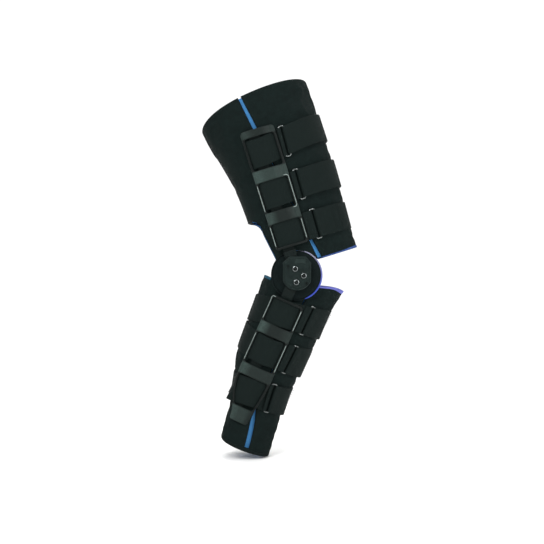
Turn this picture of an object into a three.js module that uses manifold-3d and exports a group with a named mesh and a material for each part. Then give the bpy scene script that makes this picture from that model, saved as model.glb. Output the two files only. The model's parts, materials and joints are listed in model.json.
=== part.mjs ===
// A long hinged knee brace for a right leg, with the knee bent 42 degrees, in millimetres.
//
// X points forward, Z up, and Y runs across the knee from the outer (lateral) side to the inner
// (medial) side. The origin is the middle of the lateral condyle pad's knee-side face, on the knee
// axis. Soft foam wraps go round the thigh and the calf. On each side of the knee, a dial hinge
// joins an upper and a lower metal arm. Each arm lies on its wrap under a moulded ladder frame,
// and the straps thread through the frame's windows.
import * as THREE from "three";
import { mergeVertices } from "three/addons/utils/BufferGeometryUtils.js";
import Module from "manifold-3d";

const wasm = await Module();
wasm.setup();

const { lerp, smoothstep, degToRad, radToDeg } = THREE.MathUtils;

// ---- Driving dimensions ----------------------------------------------------------------------

const THIGH_LEAN = 17.2; // degrees that the thigh's top leans back
const CALF_LEAN = 24.5; // degrees that the calf's bottom leans back
const KNEE_HALF = 50.6; // from the middle of the knee to a condyle pad's knee-side face

const FOAM = 5.5; // thickness of the wraps
const SLIT_GAP = 2; // width of the gap between a flap and the back wrap, under the ladder frame
const GUSSET_WIDTH = 30;
const GUSSET_THICK = 1;
const GUSSET_DEPTH = 0.9; // from a wrap's inner surface to its gusset

const STRAP_WIDTH = 45;
const STRAP_THICK = 2;
const STRAP_OVER_ARM = 1.4;
const STRAP_REST = 1; // clearance between a strap and the wrap under it
const FOLD_TOP = 4.8; // top of the doubled strap, where it folds back on itself

const RAIL_WIDTH = 3.4;
const FRAME_HALF = 26.7; // half the width of a ladder frame
const FRAME_THICK = 2.6;
const RAIL_PROUD = 0.7; // how far the rails stand above the rungs
const FRAME_CLEAR = 1.2; // between a frame and the strap under it
const RUNG = 18.5; // height of a rung along the leg

const RING_BACK = 35; // from the frame's middle line to the ring's near edge
const RING_WIDE = 15;
const RING_WIRE = 3;
const RING_REST = 2.1; // between a ring and the wrap under its middle
const RING_CORNER = 2.4; // outer corner radius
const RING_GAP = 0.8;

const ARM_WIDTH = 18;
const ARM_THICK = 2.5;
const ARM_CLEAR = 0.45; // between an arm and the wrap under it
const ARM_LENGTH = 236;
const ARM_START = 8; // where the strip starts, inside the round head

const PAD_RADIUS = 41;
const PAD_THICK = 13.4;
const PAD_CHAMFER = 1.5;
const LAYER_GAP = 0.3; // clearance between neighbouring hinge parts
const BASE_RADIUS = 22;
const BASE_THICK = 2;
const UPPER_HEAD = 21;
const LOWER_HEAD = 18.6;
const HUB_RADIUS = 14.5;
const WASHER_RADIUS = 18;
const WASHER_THICK = 0.7;
const COVER_RADIUS = 24.5;
const COVER_FLAT = 21.5; // from the knee axis to the flats at the cover's front and back
const COVER_THICK = 5;
const COVER_CHAMFER = 1;
const SCREW_SHANK = 1.5;
const SCREW_HEAD = 4.4;
const SCREW_HEAD_THICK = 1.8;
const STOP_CIRCLE = 20.2;
const STOP_PIN = 1.2;
const STOP_HEAD = 2.1;
const STOP_HEAD_THICK = 2.4;
const HOLE_CLEAR = 0.3; // radial clearance round a screw or a pin
const SLEEVE = [33, 41]; // the lock slider's sleeve, from one end to the other along the arm
const SLEEVE_SKIN = 1; // thickness of its walls
const BOLT_START = 22;
const BOLT_WIDTH = 6;
const RIDGE_START = 26;
const RIDGE_TALL = 6; // from the upper arm to the top of the thumb ridge
const EXTENSION_STOP_AT = -58; // degrees round the dial, from the thigh's forward direction
const FLEXION_STOP_AT = 118;
const FACETS = 30; // sides of a round hinge part

// The three screws of a dial, each as its distance from the knee axis and its angle from level.
const SCREWS = [[10.4, 106.7], [10.8, -5.3], [11.6, -95]];

// The hollow behind the knee, in distances from the hinge line and from the knee axis.
const HOLLOW_FRONT = -21; // its forward edge beside the hinge
const HOLLOW_BACK = -31.5; // its forward edge where the rounded corner starts
const HOLLOW_CORNER = [20, 25];
const HOLLOW_TOP = 106;

// Cross-sections of the outer surface of each wrap. z is the distance from the knee axis along the
// leg, front and back are measured forward from the hinge line, and half is half the width.
const SQUARENESS = 0.025; // 0 gives an ellipse, more gives flatter sides
const MOST_SKEW = 0.36; // how far the widest place may lie behind the middle, as a share of the depth
const THIGH = {
  up: 1,
  middleLine: 6, // the frames' middle line, forward of the hinge line
  firstRung: 98,
  rungPitch: 68,
  lastRung: 12,
  frameStart: 46,
  frameTaper: [0, 0],
  frameSettle: 0,
  sections: [
    { z: 10, front: 112, back: -50, half: 64 },
    { z: 50, front: 112, back: -50, half: 64.9 },
    { z: 106, front: 112.5, back: -51, half: 75 },
    { z: 168, front: 113.5, back: -56, half: 84 },
    { z: 235, front: 112.5, back: -71, half: 92 },
    { z: 303, front: 112, back: -87, half: 98 },
  ],
};
const CALF = {
  up: -1,
  middleLine: 4,
  firstRung: 98,
  rungPitch: 73.5,
  lastRung: 26,
  frameStart: 43.5,
  frameTaper: [22, 8], // how much nearer the middle line the rear and front rails are at the end
  frameSettle: 0.6, // share of its clearance that the frame loses past the last strap
  sections: [
    { z: -18, front: 86, back: -50, half: 55.2 },
    { z: 30, front: 78.5, back: -47, half: 56.4 },
    { z: 66, front: 76.5, back: -44, half: 60 },
    { z: 110, front: 76, back: -40.5, half: 60 },
    { z: 158, front: 73.7, back: -35.5, half: 57 },
    { z: 195, front: 72.5, back: -23.5, half: 51 },
    { z: 235, front: 76, back: -13, half: 45.5 },
    { z: 300, front: 84.5, back: -1.5, half: 41 },
  ],
};

// The straps of each leg, nearest the knee first. z is the strap's middle at the side of the leg,
// front and back are how much further from the knee it is at the front and at the back, wider is
// how far each edge spreads at the front, and ring is how far forward its ring is moved.
const THIGH_STRAPS = [
  { z: 70.4, front: 0, back: 0, wider: 0, ring: 3 },
  { z: 137.5, front: 5, back: 0, wider: 1, ring: -3.5 },
  { z: 204.5, front: 17, back: 0, wider: 0, ring: -5 },
];
const CALF_STRAPS = [
  { z: 66, front: -10, back: 13, wider: 4, ring: 0 },
  { z: 133.5, front: -6.5, back: -7, wider: 4, ring: 0 },
  { z: 204.5, front: -6, back: 7, wider: 1.5, ring: -6 },
];

// ---- Materials -------------------------------------------------------------------------------

const cloth = (color) => new THREE.MeshStandardMaterial({ color, roughness: 0.9, metalness: 0 });
const BLACK_LAMINATE = cloth(0x212a29);
const BLUE_LINING = cloth(0x4f86bc);
const BLACK_STRAP = cloth(0x1d2524);
const PAD_FOAM = cloth(0x1a2021);
const FRAME_PLASTIC = new THREE.MeshStandardMaterial({ color: 0x2c3a38, roughness: 0.45, metalness: 0 });
const HINGE_PLASTIC = new THREE.MeshStandardMaterial({ color: 0x18201f, roughness: 0.35, metalness: 0 });
const BLACK_METAL = new THREE.MeshStandardMaterial({ color: 0x1b1f20, roughness: 0.4, metalness: 0.8 });
const BRIGHT_STEEL = new THREE.MeshStandardMaterial({ color: 0xb8bcbc, roughness: 0.25, metalness: 1 });

// ---- Closed solids ---------------------------------------------------------------------------

function welded(geometry) {
  const bare = geometry.clone();
  bare.deleteAttribute("normal");
  bare.deleteAttribute("uv");
  return mergeVertices(bare, 1e-4);
}

function toSolid(geometry) {
  const mesh = welded(geometry);
  const vertProperties = new Float32Array(mesh.attributes.position.array);
  const triVerts = new Uint32Array(mesh.index.array);
  return new wasm.Manifold(new wasm.Mesh({ numProp: 3, vertProperties, triVerts }));
}

function toGeometry(solid) {
  const mesh = solid.getMesh();
  return new THREE.BufferGeometry()
    .setAttribute("position", new THREE.BufferAttribute(mesh.vertProperties, 3))
    .setIndex(new THREE.BufferAttribute(mesh.triVerts, 1));
}

const join = (...parts) => toGeometry(parts.map(toSolid).reduce((a, b) => a.add(b)));
const cut = (body, ...tools) => toGeometry(tools.map(toSolid).reduce((a, b) => a.subtract(b), toSolid(body)));

// Turns a welded geometry's faces round if they point inwards.
function outward(geometry) {
  const mesh = welded(geometry);
  const corner = [0, 1, 2].map(() => new THREE.Vector3());
  const index = mesh.index.array;
  let volume = 0;
  for (let i = 0; i < index.length; i += 3) {
    corner.forEach((v, k) => v.fromBufferAttribute(mesh.attributes.position, index[i + k]));
    volume += corner[0].dot(corner[1].cross(corner[2]));
  }
  for (let i = 0; volume < 0 && i < index.length; i += 3) {
    [index[i + 1], index[i + 2]] = [index[i + 2], index[i + 1]];
  }
  return mesh;
}

// ---- The surface of a leg --------------------------------------------------------------------

// One of the section sizes at a distance z along the leg, by a smooth curve through the sections.
function size(leg, key, z) {
  const list = leg.sections;
  let i = 1;
  while (i < list.length - 1 && z > list[i].z) i += 1;
  const slope = (j) => {
    const a = list[Math.max(j - 1, 0)];
    const b = list[Math.min(j + 1, list.length - 1)];
    return (b[key] - a[key]) / (b.z - a.z);
  };
  const [a, b] = [list[i - 1], list[i]];
  const span = b.z - a.z;
  const t = (z - a.z) / span;
  return (
    a[key] * (1 + 2 * t) * (1 - t) ** 2 + b[key] * t * t * (3 - 2 * t) +
    span * (slope(i - 1) * t * (1 - t) ** 2 - slope(i) * t * t * (1 - t))
  );
}

// The outline of a leg at a distance z along it: its middle, its two half sizes, and how far its
// widest place is skewed back towards the hinge line.
function outlineAt(leg, z) {
  const [front, back, half] = ["front", "back", "half"].map((key) => size(leg, key, z));
  const middle = (front + back) / 2;
  const reach = (front - back) / 2 / (1 - SQUARENESS);
  const wide = half / (1 - SQUARENESS);
  const skew = Math.min(middle - leg.middleLine, MOST_SKEW * reach);
  return { middle, reach, wide, skew };
}

const forwardOf = ({ middle, reach, skew }, a) =>
  middle + reach * (Math.cos(a) - SQUARENESS * Math.cos(3 * a)) - skew * Math.sin(a) ** 2;
const sidewaysOf = ({ wide }, a) => wide * (Math.sin(a) + SQUARENESS * Math.sin(3 * a));

// A point on a leg: z along it, an angle in degrees round it (0 at the front, -90 lateral, 90 medial)
// and a height above the wrap's outer surface.
function onLeg(leg, z, degrees, height = 0) {
  const outline = outlineAt(leg, z);
  const { reach, wide, skew } = outline;
  const a = degToRad(degrees);
  const x = forwardOf(outline, a);
  const y = sidewaysOf(outline, a);
  const dx = reach * (3 * SQUARENESS * Math.sin(3 * a) - Math.sin(a)) - skew * Math.sin(2 * a);
  const dy = wide * (Math.cos(a) + 3 * SQUARENESS * Math.cos(3 * a));
  const length = Math.hypot(dx, dy);
  return new THREE.Vector3(x + (dy / length) * height, y - (dx / length) * height, leg.up * z);
}

// The angle, as a positive number, of a place a distance forward of the hinge line, by halving.
function angleAt(leg, z, forward) {
  const outline = outlineAt(leg, z);
  let [low, high] = [0, Math.PI];
  for (let step = 0; step < 24; step += 1) {
    const half = (low + high) / 2;
    if (forwardOf(outline, half) > forward) low = half;
    else high = half;
  }
  return radToDeg(low);
}

// The distance round a leg that one degree covers.
const degreeSize = (leg, z, degrees) => onLeg(leg, z, degrees + 1).distanceTo(onLeg(leg, z, degrees));

// The angle of a place a distance round the leg from the frame's middle line, forward if positive.
function sideAngle(leg, z, forward) {
  const start = angleAt(leg, z, leg.middleLine);
  return start - forward / degreeSize(leg, z, start);
}

const valueOf = (thing, ...args) => (typeof thing === "function" ? thing(...args) : thing);
const folded = (degrees) => Math.abs(((degrees + 540) % 360) - 180);

// A block bent round a leg. around holds its two end angles, along its two ends along the leg, and
// above its two heights. Each may be a number or a function: of z, of the angle, and of both.
function bend(leg, { around, along, above, columns, rows = 1 }) {
  const block = new THREE.BoxGeometry(1, 1, 1, columns, rows, 1);
  const p = block.attributes.position;
  const pick = (pair, share, ...args) => lerp(valueOf(pair[0], ...args), valueOf(pair[1], ...args), share);
  const halfWay = pick(along, 0.5, 0);
  for (let i = 0; i < p.count; i += 1) {
    const [u, v, w] = [p.getX(i) + 0.5, p.getY(i) + 0.5, p.getZ(i) + 0.5];
    const z = pick(along, v, pick(around, u, halfWay));
    const angle = pick(around, u, z);
    const place = onLeg(leg, z, angle, pick(above, w, angle, z));
    p.setXYZ(i, place.x, place.y, place.z);
  }
  return outward(block);
}

// The same, on one side of a leg: across holds two distances from the frame's middle line.
// side is -1 for lateral and 1 for medial.
function bendOnSide(leg, side, { across, ...rest }) {
  return bend(leg, { around: across.map((mm) => (z) => side * sideAngle(leg, z, valueOf(mm, z))), ...rest });
}

// ---- Wraps -----------------------------------------------------------------------------------

const SIDES = { lateral: -1, medial: 1 };
// How far forward of the hinge line the slit between a flap and the back wrap is.
const thighSlit = (z) => lerp(44, -4, (z - 20) / 270);
const calfSlit = (z) => 29 + 16 * smoothstep(z, 205, 310);
// A slit opens out beyond the ladder frame, and on the thigh also between the frame and the knee.
const thighSlitGap = (z) => SLIT_GAP + 5 * (1 - smoothstep(z, 50, 75)) + 5 * smoothstep(z, 225, 250);
const calfSlitGap = (z) => SLIT_GAP + 6 * smoothstep(z, 228, 250);

// The space round each condyle pad, from which the wraps are cut back in an arc.
function padSpaces(clearance) {
  const radius = PAD_RADIUS + clearance;
  return Object.values(SIDES).map((sign) => {
    const space = new THREE.CylinderGeometry(radius, radius, 3 * PAD_THICK, 48);
    return space.translate(0, sign * (KNEE_HALF + PAD_THICK), 0);
  });
}

// The hollow behind the knee, from which the thigh's wrap is cut away with a rounded corner.
function kneeHollow() {
  const outline = new THREE.Shape();
  const [rear, bottom] = [-120, -20];
  const [wide, tall] = HOLLOW_CORNER;
  outline.moveTo(HOLLOW_FRONT, bottom);
  outline.lineTo(HOLLOW_FRONT, THIGH_BOTTOM);
  outline.lineTo(HOLLOW_BACK, HOLLOW_TOP - tall);
  outline.quadraticCurveTo(HOLLOW_BACK, HOLLOW_TOP, HOLLOW_BACK - wide, HOLLOW_TOP);
  outline.lineTo(rear, HOLLOW_TOP);
  outline.lineTo(rear, bottom);
  const depth = 4 * KNEE_HALF;
  const solid = new THREE.ExtrudeGeometry(outline, { depth, bevelEnabled: false, curveSegments: 6 });
  return solid.translate(0, 0, -depth / 2).rotateX(Math.PI / 2);
}

const THIGH_BOTTOM = 15;
const thighTop = (degrees) => {
  const a = degToRad(degrees);
  return 289.5 + 14.5 * Math.cos(a) - 8 * Math.sin(a) * Math.abs(Math.sin(a));
};
const calfTop = (degrees) => lerp(-8, 22, smoothstep(folded(degrees), 24, 120));
const calfBottom = (degrees) => 295 + 4 * Math.sin(degToRad(degrees)) ** 2;

const FLAP_END = 14; // degrees past the front where the lateral flap ends, over the medial flap
const FLAP_DIP = 6.2; // how far the medial flap dips under the lateral flap
const dip = (degrees) => FLAP_DIP * (1 - smoothstep(degrees, FLAP_END + 2, FLAP_END + 14));

const WRAPS = {
  thigh: {
    leg: THIGH, slit: thighSlit, gap: thighSlitGap, along: [THIGH_BOTTOM, thighTop],
    cutters: [...padSpaces(1), kneeHollow()],
  },
  calf: {
    leg: CALF, slit: calfSlit, gap: calfSlitGap, along: [calfTop, calfBottom], cutters: padSpaces(2.5),
  },
};

function addWraps(group, name) {
  const { leg, slit, gap, along, cutters } = WRAPS[name];
  const beside = (z, mm) => angleAt(leg, z, slit(z) + mm);
  const panel = (extent) => cut(bend(leg, { ...extent, rows: 14 }), ...cutters);
  const edge = (z) => beside(z, -gap(z) / 2);
  const flapEdge = (z) => beside(z, gap(z) / 2);
  const shell = [-FOAM, 0];
  const back = { around: [(z) => edge(z) - 360, (z) => -edge(z)], along, above: shell, columns: 22 };
  add(group, `${name}_wrap_back`, panel(back), BLACK_LAMINATE);
  const outer = { around: [(z) => -flapEdge(z), FLAP_END], along, above: shell, columns: 10 };
  add(group, `${name}_flap_lateral`, panel(outer), BLACK_LAMINATE);
  const under = [(degrees) => -FOAM - dip(degrees), (degrees) => -dip(degrees)];
  const inner = { around: [-FLAP_END, flapEdge], along, above: under, columns: 12 };
  add(group, `${name}_flap_medial`, panel(inner), BLACK_LAMINATE);
  for (const [side, sign] of Object.entries(SIDES)) {
    const strip = {
      around: [1, -1].map((way) => (z) => sign * beside(z, (way * GUSSET_WIDTH) / 2)),
      along: along.map((end, i) => (degrees) => valueOf(end, degrees) + (i ? -2 : 2)),
      above: [-FOAM - GUSSET_DEPTH - GUSSET_THICK, -FOAM - GUSSET_DEPTH],
      columns: 3,
    };
    add(group, `${name}_gusset_${side}`, panel(strip), BLUE_LINING);
  }
}

// ---- Ladder frames ---------------------------------------------------------------------------

// How far a strap or frame is lifted off the wrap so that it clears the arm under it, which lies on
// the hinge line.
function overArm(leg, angle, z) {
  const hingeLine = angleAt(leg, z, 0);
  const armEdge = (0.5 * ARM_WIDTH) / degreeSize(leg, z, hingeLine);
  const away = folded(angle) - hingeLine;
  const nearest = hingeLine + THREE.MathUtils.clamp(away, -armEdge, armEdge);
  const surface = sidewaysOf(outlineAt(leg, z), degToRad(nearest));
  const lift = armDistance(leg, z) + ARM_THICK / 2 - surface + STRAP_OVER_ARM;
  return Math.max(lift, 0) * (1 - smoothstep(Math.abs(away), 1.3 * armEdge, 3.4 * armEdge));
}

const rungsOf = (leg) => [0, 1, 2].map((i) => leg.firstRung + i * leg.rungPitch);

function ladderFrame(leg, side) {
  const rest = STRAP_REST + STRAP_THICK + FRAME_CLEAR;
  const settled = (z) => 1 - leg.frameSettle * smoothstep(z, 229, 258);
  const base = (angle, z) => settled(z) * (rest + overArm(leg, angle, z));
  const above = [base, (angle, z) => base(angle, z) + FRAME_THICK];
  const railAbove = [base, (angle, z) => base(angle, z) + FRAME_THICK + RAIL_PROUD];
  const rungs = rungsOf(leg);
  const far = rungs[2] + leg.lastRung / 2;
  const [rearTaper, frontTaper] = leg.frameTaper;
  const narrowing = (z) => smoothstep(z, 175, 250);
  const rear = (z) => rearTaper * narrowing(z) - FRAME_HALF;
  const front = (z) => FRAME_HALF - frontTaper * narrowing(z);
  const rail = (from, to) => bendOnSide(leg, side, {
    across: [from, to], along: [leg.frameStart, far], above: railAbove, columns: 1, rows: 14,
  });
  const rung = (z, i) => {
    const half = (i === 2 ? leg.lastRung : RUNG) / 2;
    const across = [(along) => rear(along) + 0.5, (along) => front(along) - 0.5];
    return bendOnSide(leg, side, { across, along: [z - half, z + half - 0.1], above, columns: 8 });
  };
  const rails = [
    rail(rear, (z) => rear(z) + RAIL_WIDTH),
    rail((z) => front(z) - RAIL_WIDTH, front),
  ];
  return join(...rails, ...rungs.map(rung));
}

// ---- Straps and rings ------------------------------------------------------------------------

function strapMiddle({ z, front, back }, degrees) {
  const forward = Math.cos(degToRad(degrees));
  return z + front * Math.max(0, forward) + back * Math.max(0, -forward);
}

function strapAlong(strap) {
  const half = (degrees) => STRAP_WIDTH / 2 + strap.wider * Math.max(0, Math.cos(degToRad(degrees))) ** 2;
  return [-1, 1].map((way) => (degrees) => strapMiddle(strap, degrees) + way * half(degrees));
}

const strapBase = (leg) => (angle, z) => STRAP_REST + overArm(leg, angle, z);

// The strap over the front: from behind the medial arm to the lateral ring, then folded back on
// itself as far as foldEnd degrees past the front.
function frontStrap(leg, strap, foldEnd) {
  const base = strapBase(leg);
  const top = (angle, z) => {
    const single = base(angle, z) + STRAP_THICK;
    return Math.max(single, lerp(FOLD_TOP, 0, smoothstep(angle, foldEnd - 4, foldEnd)));
  };
  const ringEnd = RING_BACK + strap.ring + RING_WIDE + RING_GAP;
  return bend(leg, {
    around: [-sideAngle(leg, strap.z, ringEnd), sideAngle(leg, strap.z, -FRAME_HALF + 8)],
    along: strapAlong(strap),
    above: [base, top],
    columns: 26,
    rows: 4,
  });
}

// The short strap that holds a ring, anchored behind the lateral arm.
function ringTab(leg, strap) {
  const base = strapBase(leg);
  const ringEnd = RING_BACK + strap.ring - RING_GAP;
  return bend(leg, {
    around: [-sideAngle(leg, strap.z, -FRAME_HALF + 4), -sideAngle(leg, strap.z, ringEnd)],
    along: strapAlong(strap),
    above: [base, (angle, z) => base(angle, z) + STRAP_THICK],
    columns: 10,
    rows: 2,
  });
}

// The strap that holds a ring and also goes round the back of the leg to the medial frame.
function backStrap(leg, strap) {
  const base = strapBase(leg);
  return bend(leg, {
    around: [
      -sideAngle(leg, strap.z, RING_BACK + strap.ring - RING_GAP),
      sideAngle(leg, strap.z, -FRAME_HALF + 4) - 360,
    ],
    along: strapAlong(strap),
    above: [base, (angle, z) => base(angle, z) + STRAP_THICK],
    columns: 28,
    rows: 2,
  });
}

function ringGeometry() {
  const tall = STRAP_WIDTH + 2 * RING_WIRE + 1;
  const outline = new THREE.Shape();
  const corner = RING_CORNER;
  const [x, y] = [RING_WIDE / 2, tall / 2];
  outline.moveTo(-x + corner, -y);
  outline.lineTo(x - corner, -y);
  outline.quadraticCurveTo(x, -y, x, -y + corner);
  outline.lineTo(x, y - corner);
  outline.quadraticCurveTo(x, y, x - corner, y);
  outline.lineTo(-x + corner, y);
  outline.quadraticCurveTo(-x, y, -x, y - corner);
  outline.lineTo(-x, -y + corner);
  outline.quadraticCurveTo(-x, -y, -x + corner, -y);
  const [ix, iy] = [x - RING_WIRE, y - RING_WIRE];
  const hole = new THREE.Path();
  hole.moveTo(-ix, -iy);
  hole.lineTo(-ix, iy);
  hole.lineTo(ix, iy);
  hole.lineTo(ix, -iy);
  hole.closePath();
  outline.holes.push(hole);
  const settings = { depth: RING_WIRE, bevelEnabled: false, curveSegments: 3 };
  return new THREE.ExtrudeGeometry(outline, settings).translate(0, 0, -RING_WIRE / 2);
}

// A ring lies flat on the leg just in front of the lateral frame.
function addRing(group, name, leg, strap) {
  const angle = -sideAngle(leg, strap.z, RING_BACK + strap.ring + RING_WIDE / 2);
  const z = strapMiddle(strap, angle);
  const height = RING_REST + RING_WIRE / 2;
  const place = onLeg(leg, z, angle, height);
  const outwards = place.clone().sub(onLeg(leg, z, angle, height - 1)).normalize();
  const lengthways = onLeg(leg, z + 5, angle).sub(onLeg(leg, z - 5, angle)).normalize();
  const across = new THREE.Vector3().crossVectors(lengthways, outwards).normalize();
  outwards.crossVectors(across, lengthways);
  const mesh = add(group, name, ringGeometry(), BRIGHT_STEEL);
  mesh.quaternion.setFromRotationMatrix(new THREE.Matrix4().makeBasis(across, lengthways, outwards));
  mesh.position.copy(place);
}

function addStraps(group) {
  THIGH_STRAPS.forEach((strap, i) => {
    add(group.thigh, `thigh_strap_${i + 1}`, frontStrap(THIGH, strap, 18), BLACK_STRAP);
    add(group.thigh, `thigh_ring_tab_${i + 1}`, ringTab(THIGH, strap), BLACK_STRAP);
    addRing(group.thigh, `thigh_ring_${i + 1}`, THIGH, strap);
  });
  CALF_STRAPS.forEach((strap, i) => {
    add(group.calf, `calf_strap_${i + 1}`, frontStrap(CALF, strap, 24), BLACK_STRAP);
    add(group.calf, `calf_back_strap_${i + 1}`, backStrap(CALF, strap), BLACK_STRAP);
    addRing(group.calf, `calf_ring_${i + 1}`, CALF, strap);
  });
}

// ---- Hinges ----------------------------------------------------------------------------------

// Distances of the hinge's layers from the middle of the knee, each as [near face, far face].
const LAYERS = {};
let reached = KNEE_HALF;
const STACK = [
  ["pad", PAD_THICK], ["base", BASE_THICK], ["upper", ARM_THICK], ["innerWasher", WASHER_THICK],
  ["lower", ARM_THICK], ["outerWasher", WASHER_THICK], ["cover", COVER_THICK],
];
for (const [layer, thickness] of STACK) {
  LAYERS[layer] = [reached, reached + thickness];
  reached += thickness + LAYER_GAP;
}

const middleOf = ([near, far]) => (near + far) / 2;

// A cylinder along Y between two distances from the middle of the knee, centred on (x, z).
function drum(radius, [near, far], x = 0, z = 0, facets = FACETS) {
  return new THREE.CylinderGeometry(radius, radius, far - near, facets).translate(x, (near + far) / 2, z);
}

function roundPlace(radius, degrees) {
  const a = degToRad(degrees);
  return [radius * Math.cos(a), radius * Math.sin(a)];
}

const screwPlaces = SCREWS.map(([radius, degrees]) => roundPlace(radius, degrees - THIGH_LEAN));
const deep = ([near, far]) => [near - 1, far + 1];

function screwHoles(layer) {
  return screwPlaces.map(([x, z]) => drum(SCREW_SHANK + HOLE_CLEAR, deep(layer), x, z, 12));
}

// The distance from the middle of the knee to the middle of an arm. The upper arm leaves its head
// level and then follows the wrap under its front edge. The lower arm comes in past the condyle pad.
function armDistance(leg, z) {
  const along = Math.max(z, 0);
  const surface = sidewaysOf(outlineAt(leg, along), degToRad(angleAt(leg, along, ARM_WIDTH / 2)));
  const onWrap = surface + ARM_CLEAR + ARM_THICK / 2;
  if (leg === THIGH) return Math.max(middleOf(LAYERS.upper), onWrap);
  return lerp(middleOf(LAYERS.lower), onWrap, smoothstep(z, 18, 62));
}

// An arm: a flat strip whose distance from the knee's middle follows its wrap, with a round head.
function arm(leg, layer, headRadius, holes) {
  const strip = new THREE.BoxGeometry(ARM_WIDTH, ARM_THICK, ARM_LENGTH - ARM_START, 1, 1, 24);
  strip.translate(0, 0, (ARM_LENGTH + ARM_START) / 2);
  const p = strip.attributes.position;
  for (let i = 0; i < p.count; i += 1) {
    p.setXYZ(i, p.getX(i), p.getY(i) + armDistance(leg, p.getZ(i)), leg.up * p.getZ(i));
  }
  return cut(join(outward(strip), drum(headRadius, layer)), ...holes);
}

const hubHole = (layer) => drum(HUB_RADIUS + HOLE_CLEAR, deep(layer));
const upperArm = () => arm(THIGH, LAYERS.upper, UPPER_HEAD, screwHoles(LAYERS.upper));
const lowerArm = () => arm(CALF, LAYERS.lower, LOWER_HEAD, [hubHole(LAYERS.lower)]);

function pad() {
  const [near, far] = LAYERS.pad;
  const [r, c] = [PAD_RADIUS, PAD_CHAMFER];
  const half = (far - near) / 2;
  const outline = [[0, -half], [r - c, -half], [r, c - half], [r, half - c], [r - c, half], [0, half]];
  const solid = new THREE.LatheGeometry(outline.map(([x, y]) => new THREE.Vector2(x, y)), FACETS);
  return solid.translate(0, middleOf(LAYERS.pad), 0);
}

// The cover is round above and below, with upright flats at the front and back.
function cover() {
  const [near, far] = LAYERS.cover;
  const outline = new THREE.Shape();
  const corner = Math.acos((COVER_FLAT - COVER_CHAMFER) / (COVER_RADIUS - COVER_CHAMFER));
  outline.absarc(0, 0, COVER_RADIUS - COVER_CHAMFER, corner, Math.PI - corner);
  outline.absarc(0, 0, COVER_RADIUS - COVER_CHAMFER, Math.PI + corner, -corner);
  const whole = new THREE.ExtrudeGeometry(outline, {
    depth: far - near - 2 * COVER_CHAMFER,
    bevelThickness: COVER_CHAMFER,
    bevelSize: COVER_CHAMFER,
    bevelSegments: 1,
    curveSegments: 12,
  });
  whole.translate(0, 0, near + COVER_CHAMFER).rotateX(-Math.PI / 2).rotateY(degToRad(THIGH_LEAN));
  const pins = [EXTENSION_STOP_AT, FLEXION_STOP_AT].map((degrees) => {
    const [x, z] = roundPlace(STOP_CIRCLE, degrees);
    return drum(STOP_PIN + HOLE_CLEAR, deep(LAYERS.cover), x, z, 12);
  });
  return cut(whole, ...screwHoles(LAYERS.cover), ...pins);
}

function hub() {
  const body = drum(HUB_RADIUS, [LAYERS.innerWasher[0], LAYERS.outerWasher[1]]);
  return cut(body, ...screwHoles([LAYERS.upper[1], LAYERS.cover[0]]));
}

function washer(layer) {
  return cut(drum(WASHER_RADIUS, layer), hubHole(layer));
}

// A headed peg: a shank through the layers and a head on the cover's outer face.
function peg([x, z], start, shankRadius, headRadius, headThick) {
  const face = LAYERS.cover[1] + LAYER_GAP;
  const shank = drum(shankRadius, [start, face + 0.1], x, z, 12);
  return join(shank, drum(headRadius, [face, face + headThick], x, z, 16));
}

// The lock slider clips round the upper arm's edges, with a thumb ridge and a flat bolt that
// points at the lower arm's head.
function lockSlider() {
  const [near, far] = [LAYERS.upper[0] - LAYER_GAP, LAYERS.upper[1] + LAYER_GAP];
  const [from, to] = SLEEVE;
  const box = (half, y0, y1, z0, z1) =>
    new THREE.BoxGeometry(2 * half, y1 - y0, z1 - z0).translate(0, (y0 + y1) / 2, (z0 + z1) / 2);
  const edge = ARM_WIDTH / 2 + LAYER_GAP;
  const sleeve = box(edge + SLEEVE_SKIN, near - SLEEVE_SKIN, far + SLEEVE_SKIN, from, to);
  const channel = box(edge, near, far, from - 1, to + 1);
  const bolt = box(BOLT_WIDTH / 2, ...LAYERS.lower, BOLT_START, from + 2);
  const ridge = box(edge, far + SLEEVE_SKIN / 2, LAYERS.upper[1] + RIDGE_TALL, RIDGE_START, to - 1);
  return cut(join(sleeve, bolt, ridge), channel);
}

// Adds a hinge part to a group, mirrored to the side it is on.
function addHingePart(group, side, name, geometry, material) {
  const placed = geometry.clone().scale(1, SIDES[side], 1);
  add(group, `${side}_${name}`, outward(placed), material);
}

function addHinge(group, side) {
  const onThigh = (name, geometry, material) => addHingePart(group.thigh, side, name, geometry, material);
  onThigh("condyle_pad", pad(), PAD_FOAM);
  onThigh("hinge_base", drum(BASE_RADIUS, LAYERS.base), HINGE_PLASTIC);
  onThigh("upper_arm", upperArm(), BLACK_METAL);
  onThigh("pivot_hub", hub(), BRIGHT_STEEL);
  onThigh("inner_washer", washer(LAYERS.innerWasher), HINGE_PLASTIC);
  onThigh("outer_washer", washer(LAYERS.outerWasher), HINGE_PLASTIC);
  onThigh("dial_cover", cover(), HINGE_PLASTIC);
  onThigh("lock_slider", lockSlider(), FRAME_PLASTIC);
  const threadStart = LAYERS.upper[0] + LAYER_GAP;
  screwPlaces.forEach((place, i) => {
    const screw = peg(place, threadStart, SCREW_SHANK, SCREW_HEAD, SCREW_HEAD_THICK);
    onThigh(`dial_screw_${i + 1}`, screw, BRIGHT_STEEL);
  });
  const stops = { extension_stop_pin: EXTENSION_STOP_AT, flexion_stop_pin: FLEXION_STOP_AT };
  for (const [name, degrees] of Object.entries(stops)) {
    const place = roundPlace(STOP_CIRCLE, degrees);
    onThigh(name, peg(place, LAYERS.lower[0], STOP_PIN, STOP_HEAD, STOP_HEAD_THICK), BLACK_METAL);
  }
  addHingePart(group.calf, side, "lower_arm", lowerArm(), BLACK_METAL);
}

// ---- The whole brace -------------------------------------------------------------------------

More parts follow.
